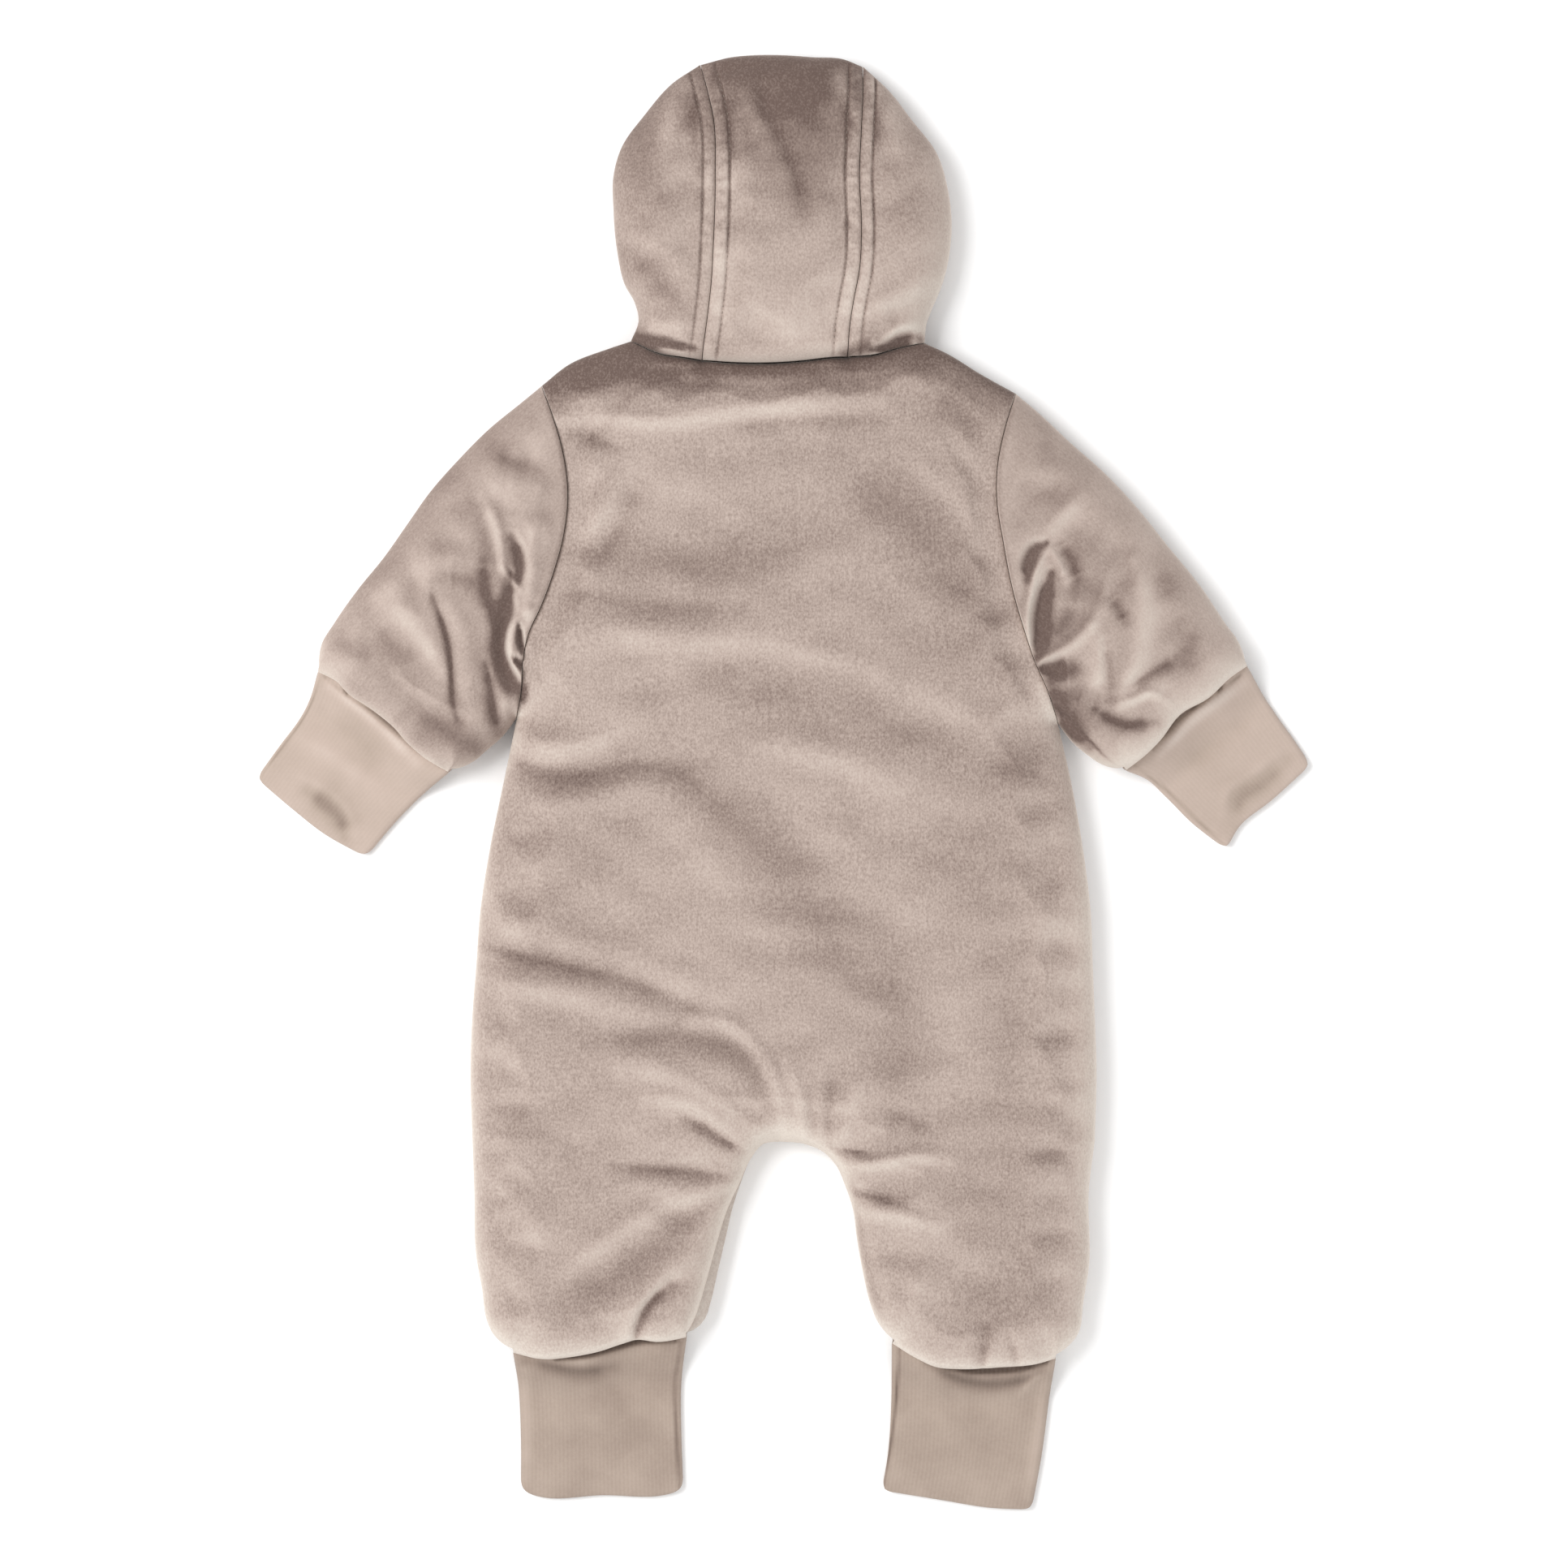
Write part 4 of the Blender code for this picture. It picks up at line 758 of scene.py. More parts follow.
# ------------------------------------------------------------------------------------------------
# Zip. A closed nylon coil sewn on two woven tapes, between the fronts, so it lies under the suit with
# its face down. The slider is cast zinc, painted, with a ring and a folded ribbon for its pull.
ZIP_TOP = 205.0
TAPE = (0.8, 4.6)        # a tape's edges, from the zip's middle
TAPE_LEVELS = (11.6, 12.4)
TAPE_END = ZIP_END + 1
TAPE_BEVEL, TOOTH_BEVEL, STOP_BEVEL = 0.25, 0.22, 0.4
TOOTH = (2.65, 0.78)     # a tooth's size across the zip and along it
TOOTH_LEVELS = (9.8, 11.6)
TOOTH_SHIFT = 2.0        # from one tape's teeth to the other's
TOOTH_PITCH = 1.6
STOP = (2.4, 2.2)        # half the width, and the length, of the stops at the zip's ends
STOP_IN = 0.5            # from the zip's ends to its stops
SLIDER_ENDS = (188.5, 199.5)
SLIDER_HALF = 4.1
SLIDER_LEVELS = (7.3, 9.3)
BAIL = ((-0.9, 190.0, 5.4), (0.9, 198.0, 7.6))
RING = (189.2, 5.55, 2.7, 0.4)         # its middle along the zip and its level, and its two radii
RING_TURN, RING_WIDE = 0.36, 1.35      # how it leans out of the plane, and its width to its length
PLATE_TAPER = 0.7        # width of the slider's narrow end to its wide one
PLATE_RIM, PLATE_HOLLOW = 1.1, 0.4     # the slider's rim and how deep its face lies in it
BAIL_WALL = 0.5
SLIDER_BEVEL = 0.18
SHARP_FROM = 0.7         # an edge that turns by more than this angle stays sharp
FACING = 0.9             # a face with this share of its normal along an axis faces along it
RIBBON_HALF, RIBBON_THICK = 3.0, 0.4
RIBBON_PATH = ((171.4, 4.1), (180, 4.1), (184, 4.05), (186.3, 4.0), (187.4, 4.3), (187.4, 4.9),
               (186.3, 5.2), (184, 4.9), (181, 4.55), (171.4, 4.52))

# Woven polyester tape: matt, in a twill drawn with lines 1.7 mm apart. Nylon coil: smooth, with a
# dull shine, a little darker than its tape.
tape_cloth = patterned("woven_polyester_tape", 0.85, 260.0, ((0.0, "#8E7F74"), (1.0, "#A99A8E")),
                       bump=(0.4, 0.1), bands="DIAGONAL", distortion=0.4)
nylon = patterned("nylon_coil", 0.45, 900.0, ((0.3, "#85766B"), (0.7, "#9A8B80")))

# Painted zinc: a thin, even coat with a satin shine and a few fine dents. Grosgrain ribbon: ribs
# across it, 0.8 mm apart.
painted_zinc = patterned("painted_zinc", 0.35, 400.0, ((0.3, "#A08F83"), (0.7, "#AB9A8E")),
                         bump=(0.2, 0.05))
grosgrain = patterned("grosgrain_ribbon", 0.8, 400.0, ((0.0, "#A5958A"), (1.0, "#BBABA0")),
                      bump=(0.5, 0.15), bands="Y")


def new_box(low, high, bevel=0.0):
    """A box between two corners about the zip's middle line, with its edges bevelled."""
    low, high = [(Vector(corner) + Vector((ZIP_X, 0, 0))) * MM for corner in (low, high)]
    bpy.ops.object.select_all(action="DESELECT")
    bpy.ops.mesh.primitive_cube_add(size=1, location=(low + high) / 2, scale=high - low)
    bpy.ops.object.transform_apply()
    if bevel:
        bpy.ops.object.mode_set(mode="EDIT")
        bpy.ops.mesh.select_all(action="SELECT")
        bpy.ops.mesh.bevel(offset=bevel * MM, segments=2, affect="EDGES")
        bpy.ops.object.mode_set(mode="OBJECT")
    return bpy.context.object


def pick(part, chosen):
    """Select the faces of a part that a test on their middle and their way chooses."""
    for items in (part.data.vertices, part.data.edges):
        items.foreach_set("select", [False] * len(items))
    for face in part.data.polygons:
        face.select = chosen(face.center / MM, face.normal)
    bpy.context.tool_settings.mesh_select_mode = (False, False, True)
    bpy.ops.object.mode_set(mode="EDIT")


def one_part(name, parts, material, node=None):
    """Parts joined into one piece that rides on the suit, and may stand for a solid."""
    bpy.ops.object.select_all(action="DESELECT")
    for part in parts:
        part.select_set(True)
    bpy.context.view_layer.objects.active = parts[0]
    if len(parts) > 1:
        bpy.ops.object.join()
    bpy.ops.object.shade_smooth_by_angle(angle=SHARP_FROM)
    piece = parts[0]
    piece.name = piece.data.name = name
    piece.data.materials.clear()
    piece.data.materials.append(material)
    if node:
        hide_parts(node)
    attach(piece, "root")


tapes = [new_box((side * TAPE[0 if side > 0 else 1], TAPE_END, TAPE_LEVELS[0]),
                 (side * TAPE[1 if side > 0 else 0], ZIP_TOP, TAPE_LEVELS[1]), TAPE_BEVEL)
         for side in (-1, 1)]
one_part("zip_tapes", tapes, tape_cloth, "zip")

first = TAPE_END + STOP[1]
tooth = new_box((-TOOTH_SHIFT / 2 - TOOTH[0] / 2, first, TOOTH_LEVELS[0]),
                (-TOOTH_SHIFT / 2 + TOOTH[0] / 2, first + TOOTH[1], TOOTH_LEVELS[1]), TOOTH_BEVEL)
count = int((ZIP_TOP - STOP[1] - 1 - first) / TOOTH_PITCH)
for copies, step in ((2, (TOOTH_SHIFT, TOOTH_PITCH / 2, 0)), (count, (0, TOOTH_PITCH, 0))):
    row = tooth.modifiers.new("row", "ARRAY")
    row.use_relative_offset, row.use_constant_offset = False, True
    row.constant_offset_displace, row.count = Vector(step) * MM, copies
    bpy.ops.object.modifier_apply(modifier="row")
stops = [new_box((-STOP[0], start, TOOTH_LEVELS[0]), (STOP[0], start + STOP[1], TOOTH_LEVELS[1]),
                 STOP_BEVEL)
         for start in (ZIP_END + STOP_IN, ZIP_TOP - STOP[1] - STOP_IN)]
one_part("zip_coil", [tooth] + stops, nylon)

plate = new_box((-SLIDER_HALF, SLIDER_ENDS[0], SLIDER_LEVELS[0]),
                (SLIDER_HALF, SLIDER_ENDS[1], SLIDER_LEVELS[1]))
pick(plate, lambda middle, way: way.y < -FACING)
bpy.ops.transform.resize(value=(PLATE_TAPER, 1, 1), center_override=(ZIP_X * MM, 0, 0))
bpy.ops.object.mode_set(mode="OBJECT")
pick(plate, lambda middle, way: way.z < -FACING)
bpy.ops.mesh.inset(thickness=PLATE_RIM * MM)
bpy.ops.transform.translate(value=(0, 0, PLATE_HOLLOW * MM))
bpy.ops.object.mode_set(mode="OBJECT")
bail = new_box(*BAIL)
pick(bail, lambda middle, way: abs(way.x) > FACING)
bpy.ops.mesh.inset(thickness=BAIL_WALL * MM)
bpy.ops.mesh.bridge_edge_loops()
bpy.ops.object.mode_set(mode="OBJECT")
for part in (plate, bail):
    bpy.context.view_layer.objects.active = part
    bevel = part.modifiers.new("bevel", "BEVEL")
    bevel.width, bevel.segments = SLIDER_BEVEL * MM, 2
    bpy.ops.object.modifier_apply(modifier="bevel")
one_part("zip_slider_body", [plate, bail], painted_zinc, "zip_slider")

bpy.ops.object.select_all(action="DESELECT")
bpy.ops.mesh.primitive_torus_add(location=(ZIP_X * MM, RING[0] * MM, RING[1] * MM),
                                 rotation=(RING_TURN, 0, 0), major_radius=RING[2] * MM,
                                 minor_radius=RING[3] * MM, major_segments=32, minor_segments=10)
ring = bpy.context.object
ring.scale = (RING_WIDE, 1, 1)
bpy.ops.object.transform_apply()
one_part("zip_pull_ring", [ring], painted_zinc)

path = smooth(RIBBON_PATH, 4)
band = np.vstack([aside(path, RIBBON_THICK / 2), aside(path, -RIBBON_THICK / 2)[::-1]])
points = [(x, y, z) for x in (ZIP_X - RIBBON_HALF, ZIP_X + RIBBON_HALF) for y, z in band]
count = len(band)
faces = [[k, (k + 1) % count, count + (k + 1) % count, count + k] for k in range(count)]
faces += [list(range(count)), list(range(count, 2 * count))]
ribbon = add_piece("zip_pull_ribbon", points, faces, grosgrain)
one_part("zip_pull_ribbon", [ribbon], grosgrain, "zip_pull")

# ------------------------------------------------------------------------------------------------
# Sleeves. Each is one padded velour tube, flattened, with its seam under the arm. It is sewn into
# the armhole, and its hem bulges over the jersey cuff.
SLEEVE_TOP = 30.0
SLEEVE_CELL = 1.25
Sleeve = namedtuple("Sleeve", "pile overarm underarm hem folds")
# Each sleeve's pile has a painted highlight along its rounded edges, stronger on the right sleeve than
# on the left.
SLEEVES = {
    "left": Sleeve(
        pile=Pile((-0.64, -0.77), 0.405, 0.1, 0.55, 0.13, 45.0, 15.0, (0.64, 0.77)),
        overarm=((-125, 206), (-136, 197), (-152, 184), (-168, 168), (-183, 151), (-195, 134),
                 (-207, 117), (-220, 101), (-232, 84), (-240, 70), (-241, 58)),
        underarm=((-138, 34), (-145, 25), (-154, 17), (-164, 9), (-173, 6)),
        hem=((-241, 58), (-231, 53), (-224, 46), (-212, 38), (-201, 29), (-194, 21), (-186, 14),
             (-173, 6)),
        folds=(
            # over the shoulder
            ((9, 13, 13), 0, -0.6, ((-158, 180), (-186, 150), (-211, 116), (-235, 84))),
            (7, -0.3, -0.3, ((-152.2, 178), (-145.2, 173), (-138.2, 169))),
            ((4, 6), -0.8, -0.4, ((-148.2, 170), (-136.2, 166), (-126.2, 163))),
            (7, 0.8, 0.28, ((-144.2, 156), (-130.2, 154), (-120.2, 151))),
            (6, 0.4, 0.22, ((-132.2, 180), (-122.2, 174))),
            # the rolled band along the armhole, its loop and the two slits in it
            ((7, 6, 4.5, 3.6), 1.5, 0.31, ((-128.2, 142), (-124.2, 128), (-127.2, 113), (-130.2, 100),
             (-131.2, 89))),
            ((3.2, 2.8, 2.6, 3), 2, 0.6, ((-131.2, 89), (-136.6, 85), (-139.4, 76), (-139.4, 68),
             (-137.2, 59), (-133.2, 52), (-130.2, 45))),
            ((2.4, 3.4, 5, 3.2, 2.9, 4, 5.2, 4.2), -3.7, -2, ((-140, 108), (-140, 100), (-140.8, 90),
             (-143.8, 79), (-144.2, 68), (-141, 59), (-135, 50), (-131, 42)), -0.4, 0.6),
            ((2.6, 3.2, 3), -2.7, -1.6, ((-138.4, 127), (-134.9, 118), (-134.4, 110),
             (-138.2, 101)), -0.2, 0.4),
            (1.5, 0.9, 0.43, ((-144, 111), (-139, 105), (-135, 100))),
            ((1.1, 1.7, 1.4), -3.4, -2.6, ((-135.8, 81.5), (-135.2, 75), (-134, 68)), 0, 1),
            ((1.3, 1.9, 1.2), -3.1, -2.4, ((-139, 65), (-135, 61.8), (-131, 59)), 0, 1),
            (1.3, 0.8, 0.37, ((-136.2, 68.6), (-132.6, 66))),
            # folds that run from the underarm towards the hem
            ((3.6, 4.6, 4), -1.7, -1.2, ((-153, 115), (-152.6, 107), (-151, 98), (-149, 88))),
            ((3.6, 3, 2.2), 1.1, 0.3, ((-154, 148), (-148, 136), (-145, 124), (-143.8, 113),
             (-141, 104))),
            ((4, 5), 0, -0.5, ((-156, 134), (-151.5, 119), (-148, 107))),
            (9, 0, -0.3, ((-164, 148), (-160, 134))),
            ((6, 7, 6), 0.9, 0.28, ((-206.2, 94), (-191.2, 108), (-175.2, 115), (-158.2, 118))),
            ((5, 6), -0.9, -0.48, ((-172.2, 107), (-162.2, 106), (-155.2, 102))),
            ((6, 6.5, 4), 1.2, 0.5, ((-203, 97), (-191, 84), (-181.2, 72), (-175.2, 60))),
            ((3, 2.6, 2.4, 3.4), -2, -1, ((-179.5, 96), (-176, 87), (-172.5, 76), (-170.7, 65),
             (-169.7, 53), (-169.2, 43), (-167, 34)), 0.3),
            ((4.5, 6, 5), 0.6, 0, ((-172, 93), (-164, 80), (-160.5, 63), (-158, 46), (-156, 31))),
            ((2.6, 3.6, 3.6), -1.8, -1.2, ((-152.5, 62), (-150, 50), (-148.3, 38), (-146.5, 27))),
            (3, 0.7, 0.22, ((-143.2, 45), (-141.2, 33))),
            ((6, 11, 10, 7), -0.9, -0.75, ((-186, 42), (-174, 30), (-159, 21), (-148, 21))),
            (6, 0, -0.9, ((-238, 62), (-222, 51), (-208, 42), (-196, 31), (-184, 20), (-174, 13))),
            ((7, 10), -0.6, -0.45, ((-209, 83), (-196, 72), (-189, 60))),
            (7, -0.4, -0.32, ((-201.2, 55), (-186.2, 45))),
            ((9, 11), 0, -0.28, ((-234.2, 77), (-224.2, 66), (-210.2, 58))),
            (2.6, 0, 0.5, ((-126.5, 94), (-132, 80), (-135.5, 68))),
            ((9, 12), 0, -0.2, ((-184, 124), (-166, 106))),
            (3, 0, -0.3, ((-198, 34), (-192, 38))))),
    "right": Sleeve(
        pile=Pile((0.64, -0.77), 0.43, 0.45, 0.55, 0.13, 45.0, 15.0, (0.64, -0.77)),
        overarm=((120, 202), (132, 192), (148, 177), (166, 161), (183, 143), (199, 123),
                 (216, 102), (228, 84), (238, 69), (240, 61)),
        underarm=((142, 31), (150, 21), (160, 13), (168, 8), (177, 7)),
        hem=((240, 61), (231, 55), (219, 44), (205, 36), (194, 22), (187, 15), (177, 7)),
        folds=(
            # over the shoulder
            ((5, 6), 0, -0.25, ((132, 190), (135, 178), (134, 168))),
            (7, -0.6, -0.36, ((116.8, 156), (131.8, 151), (143.8, 148))),
            (4.5, 0.9, 0.15, ((134.8, 127), (142.4, 138), (151, 148))),
            # the hooked hollow, the ridges round it and the deep crease beside the armhole
            ((2.2, 3.2, 3, 1.6), -2.7, -1.7, ((124.6, 106), (125, 115), (128.5, 121.5),
             (134.5, 124.3)), 0, 0.6),
            ((1.8, 2.8, 2.2), 1.8, 0.43, ((136, 121.5), (132, 115), (129, 108), (127, 99), (125.5, 88),
             (126, 76), (126.8, 64))),
            ((1.8, 2.4), 1.4, 0.37, ((135.8, 122.5), (140.3, 115), (144.8, 105))),
            ((2.4, 4, 3), -1.7, -0.88, ((141.8, 124), (146.8, 116), (150.8, 106))),
            ((2, 3.6, 4.6, 4.8, 4.4, 2.6), -3.9, -2.1, ((136.7, 109), (134.2, 100), (131.7, 89),
             (131, 80), (130.4, 72), (129, 64)), 0.1, 0.8),
            ((6, 9, 8), -0.6, -0.62, ((143.8, 101), (155.8, 101), (165.8, 98))),
            ((8, 12, 10), 0, -0.35, ((152, 124), (166, 119), (176, 108))),
            (6, -0.4, -0.65, ((138.5, 74), (144, 84), (146, 94))),
            ((2.6, 3.4), -1.4, -0.76, ((167.8, 96), (171.8, 90), (174.8, 84))),
            ((1.8, 3.2, 4), 1.5, 0.4, ((128.4, 61.6), (139, 66.5), (149, 73), (157, 81), (162, 89))),
            ((4, 6.5, 5), 1.3, 0.4, ((158, 82), (162, 71), (161, 59), (155, 47))),
            ((1.2, 3.4, 5.4, 5.4), -3.6, -2.3, ((129.6, 60.3), (136, 60), (142, 60),
             (146.5, 60.5)), 0, 0.8),
            (5, -0.4, -0.4, ((141.8, 47), (153.8, 44))),
            ((2, 3.2, 3.6), -1.2, -0.6, ((165, 73), (166.4, 60), (167, 46))),
            # folds that run towards the hem
            ((3, 6.5, 8, 6, 3.4), 1.7, 0.5, ((179, 116), (184, 100), (185, 85), (182, 70), (176.5, 54),
             (172.8, 43))),
            ((7, 10, 9), -0.5, -0.5, ((192, 114), (198, 98), (202, 83), (206, 68))),
            ((6, 4, 2.6), -1.4, -0.7, ((202, 66), (189, 58.5), (177, 50.4))),
            (2.6, 1.4, 0.37, ((172.3, 41), (179.8, 44), (187.8, 47), (195.8, 44))),
            ((2.2, 3.8, 3.6), -2.2, -1.4, ((160, 39.5), (168, 34.5), (178, 31.8), (189, 34))),
            ((5, 7), -0.4, -0.36, ((212.8, 80), (205.8, 66))),
            (7, 0.4, 0.22, ((195.8, 100), (203.8, 84))),
            # under the arm, with the seam of the sleeve
            ((3.4, 5.6, 5.2, 3), -1.6, -2.1, ((137, 53), (141, 41), (148, 29), (157, 18.5)), 0, 0.4),
            (0.9, -1.2, -1.12, ((137.8, 43.5), (147.8, 32), (159.8, 20.5), (168.8, 10.3))),
            (8, 0, -0.4, ((150, 42), (161, 24))),
            (6, 0, -0.5, ((150, 46), (164, 41))),
            (5, 0, 0.3, ((155, 66), (166, 52))),
            (2.6, 0, 0.5, ((122, 88), (125.5, 76), (129, 64))),
            (4, 0.4, 0.25, ((169.8, 13), (181.8, 17), (193.8, 24))))),
}
SLEEVE_ROUND = {"overarm": Round(0, 26), "underarm": Round(0, 16), "armhole": Round(0.93, 2.6),
                "hem": Round(0.13, 14)}
SLEEVE_UNDER_ROUND = {"overarm": Round(0, 20), "underarm": Round(0, 14), "armhole": Round(0.6, 7),
                      "hem": Round(0.17, 11)}
ARMHOLE_LIGHT = ((1.0,), (0.7,), (0.3,))   # painted light on the first rows of cells at the armhole, along the sleeve's rolled edge
for name, sleeve in SLEEVES.items():
    near = BODY[name].near
    armhole = aside(smooth(BODY[name].armhole), near * INSET)
    hem = aside(smooth(sleeve.hem), -near * HEM_SET_IN)
    over = meeting(smooth(sleeve.overarm), armhole[0], hem[0])
    under = meeting(smooth(sleeve.underarm), armhole[-1], hem[-1])
    plan = fill_between(armhole, hem, over, under, spread(length_of(armhole), cell=SLEEVE_CELL),
                        spread(length_of(over), cell=SLEEVE_CELL))
    edges = {"overarm": over, "underarm": under, "armhole": armhole, "hem": hem}
    upper = upper_layer(plan, [(edges[key], SLEEVE_ROUND[key]) for key in edges], SLEEVE_TOP,
                        sleeve.folds, sleeve.pile, [hem], SEAM_LEVEL)
    # painted light along the rolled edge at the armhole
    upper.tone[:len(ARMHOLE_LIGHT)] += ARMHOLE_LIGHT
    lower = lower_layer(plan, [(edges[key], SLEEVE_UNDER_ROUND[key]) for key in edges],
                        sleeve.folds, [hem], SEAM_LEVEL)
    points, faces, tones, free = sewn(upper, lower, strip(upper.points[0], lower.points[0]),
                                      strip(upper.points[-1], lower.points[-1]))
    piece = add_piece("sleeve_" + name + "_velour", points, faces, velour,
                      {"tone": tones, "free": free})
    finish_velour(piece, "sleeve_" + name, sleeve.pile)

# ------------------------------------------------------------------------------------------------
# Hood. Two side panels and a centre strip of padded velour with a velour inside, sewn into the neck
# and folded round the face opening, which looks down. Each long seam has a row of topstitching on
# both sides of it, which presses the padding into two narrow bands.
HOOD_TOP = 35.0
HOOD_LINING = 21.0       # inside of the hood's upper layer, at its crown
STITCH_OUT = 6.4         # from a hood seam to the stitches on the side panel
STITCH_IN = 7.4          # and on the centre strip
STITCH_PLACES = (0, 0.35, 0.9, 1.7, 2.8, 4.0, 4.9, 5.6, 6.2, 6.8, 7.4, 8.0, 8.7, 9.8)
CROWN = ((-43, 372), (-27, 376), (-15, 377), (0, 377), (15, 376), (31, 375), (41, 371))
FACE_TOP = ((-38, 341), (-20, 337), (0, 336), (20, 337), (36, 341))
HoodSide = namedtuple("HoodSide", "edge seam face")
HOOD = {
    "left": HoodSide(
        edge=((-79, 229), (-75, 240), (-77, 249), (-82, 258), (-86, 275), (-88, 297), (-88, 315),
              (-84, 329), (-72, 346), (-58, 362), (-44, 371.5)),
        seam=(NECK_CENTER[0], (-39, 240), (-37, 258), (-36, 276), (-35, 312), (-36, 342),
              (-39, 356), CROWN[0]),
        face=((-6, 207), (-28, 226), (-45, 247), (-54, 272), (-56, 298), (-50, 324), FACE_TOP[0])),
    "right": HoodSide(
        edge=((73, 228), (74, 238), (77, 246), (82, 258), (86, 275), (87, 292), (85, 308),
              (80, 325), (66, 344), (56, 357), (42, 370.4)),
        seam=(NECK_CENTER[-1], (34, 235), (36, 248), (39, 264), (40, 288), (39, 312), (40, 336),
              (41, 360), CROWN[-1]),
        face=((4, 207), (26, 226), (43, 247), (52, 272), (54, 298), (48, 324), FACE_TOP[-1]))}
HOOD_FOLDS = (
    # the crown
    ((18, 22, 20), 0, -0.4, ((-40, 354), (0, 362), (34, 354))),
    (7, 0, -0.5, ((-36, 346), (-35, 322))),
    (6, 0, 0.5, ((-57, 364), (-46, 358))),
    (4, 0, 0.6, ((28, 366), (31, 352))),
    (4, 0, 0.6, ((47, 366), (48, 354))),
    (3.6, 0, 0.7, ((-42, 311), (-41.5, 305))),
    (3.6, 0, 0.7, ((-28, 311), (-28, 304))),
    ((16, 18), 0, -0.3, ((0, 340), (6, 312))),
    ((13, 16, 12), 0, -0.5, ((6, 366), (14, 342), (18, 318), (12, 300))),
    ((2, 3.6, 3), -1.4, -1.1, ((-36, 365), (-28, 367.6), (-14, 369), (2, 370))),
    ((4, 6, 6, 4, 5), -1.2, -0.5, ((-13, 360), (-7, 344), (0, 329), (6, 314), (9, 294)), 0.3),
    ((5, 4), 0.6, 0.25, ((-24, 362), (-16, 346), (-10, 330))),
    ((14, 12), 0, -0.3, ((-18, 316), (-4, 306), (20, 304))),
    (12, 0, -0.5, ((-22, 346), (-12, 322))),
    ((2.6, 3.2, 2.4), -0.4, -0.6, ((-46, 352), (-46, 340), (-45, 324))),
    ((2.4, 3, 2.2), -0.4, -0.7, ((-29, 350), (-28, 340), (-27, 322))),
    ((2.4, 3.4, 2.4), -0.4, -0.75, ((32, 348), (33, 340), (33, 328))),
    ((2.4, 3.2, 2.4), -0.4, -0.7, ((47, 346), (48, 337), (48, 326))),
    (2.4, -0.4, -0.6, ((33, 290), (33, 284))),
    (2.6, -0.3, -0.5, ((-43, 320), (-43, 296))),
    (6, 0, 0.6, ((-32, 276), (-32, 252), (-34, 234))),
    ((8, 11, 8), 0, 0.3, ((-12, 229), (18, 237), (46, 250))),
    (9, 0, 0.45, ((39, 262), (36, 246), (32, 236))),
    (18, 0, 0.2, ((-28, 262), (0, 250), (26, 258))),
    # left side
    ((10, 14, 12), 0, -0.32, ((-76, 334), (-72, 312), (-70, 290))),
    ((4, 5, 4), 0.6, 0.4, ((-57, 357), (-58, 342), (-62, 326))),
    (4, -0.4, -0.3, ((-50, 346), (-50, 334))),
    ((5, 7, 5), 0.8, 0.2, ((-80, 282), (-62, 275), (-46, 259))),
    ((6, 9, 6), -1.2, -0.6, ((-77, 273), (-68, 263), (-58, 252))),
    ((4, 5), 0, -0.3, ((-86, 286), (-83, 262), (-78, 246))),
    ((4, 5), 1, 0.6, ((-73, 237), (-62, 235.6), (-48, 234.6))),
    # right side
    ((8, 11, 10), 0, -0.2, ((58, 326), (64, 304), (66, 284), (66, 268))),
    ((4, 6, 5), 0.7, 0.32, ((54, 356), (57, 338), (61, 320))),
    ((3, 6, 6), 1.2, 0.35, ((42, 243), (50, 247), (62, 251), (76, 258))),
    ((3, 5, 4), -0.8, -0.25, ((50, 236), (59, 242), (70, 248))),
    (8, 0, 0.4, ((56, 240), (72, 242))),
    # the shade above the neck seam, and the tuck and the small tunnel beside it
    (4, 0, -0.6, ((-50, 222), (-30, 221))),
    ((5, 5, 5, 5), 0, -0.75, ((-46, 220), (-20, 219), (10, 219), (40, 221))),
    ((2.4, 5), 0, -1.9, ((26, 219.6), (38, 222.6), (48, 225))),
    (5, 0, -0.7, ((-78, 227), (-76, 224.5))),
    ((4, 3, 2.2, 1.4), -3, -2.8, ((-77, 229), (-71, 228.2), (-61, 227.2), (-54, 225.4),
     (-46, 224)), 0, 0.6),
    ((5, 3.4), -1.5, -2, ((-79, 227.5), (-72, 225.5))),
    ((1.2, 2.4, 1.8), 1, 0.1, ((-68, 226), (-62, 224), (-52, 222.6))),
    ((3, 2.6, 1.5), -2.4, -2.6, ((-75, 224.8), (-68, 222.4), (-62, 220.2), (-52, 218.6)), 0, 0.6),
    ((1.8, 3, 3), 1.6, 0.7, ((53, 230), (60, 234.5), (72, 236))),
    ((1, 1.8, 2.8, 4, 4.2, 3.2), -3.6, -2.9, ((45, 223.1), (50, 223.8), (55, 225.4), (60.5, 227.4),
     (65, 228.4), (70, 229)), 0, 2.4),
    ((1.4, 2, 1.4), 0.8, 1.1, ((63, 229), (66.5, 228), (69, 226.2))),
    ((1.2, 1.6), 0.4, 0.3, ((50, 221.4), (58, 222.4), (68, 224.8))),
)
# The hood panels' painted highlight along rounded edges is stronger on the right panel than on the
# left.
HOOD_PILE = {name: BACK_PILE._replace(way=way, level=level, rim=rim, rough=0.85, long=50.0)
             for name, way, level, rim in (("hood_left", (0.1, -0.6), 0.39, 0.2),
                                           ("hood_right", (0.25, -0.6), 0.4, 0.4),
                                           ("hood_center", (0.0, -0.8), 0.4, 0.3))}
HOOD_ROUND = {"outline": Round(0, 34), "neck": Round(0.5, 9), "seam": Round(0.93, 2.0)}
HOOD_UNDER_ROUND = {"outline": Round(0, 20), "face": Round(0.5, 6), "neck": Round(0.6, 6)}
STITCH_GROOVE = (0.7, 1.2)    # width and depth of the groove that a row of stitches draws
GROOVE_PAINTED_SHADE = 1.2        # how much painted shade lies in the groove
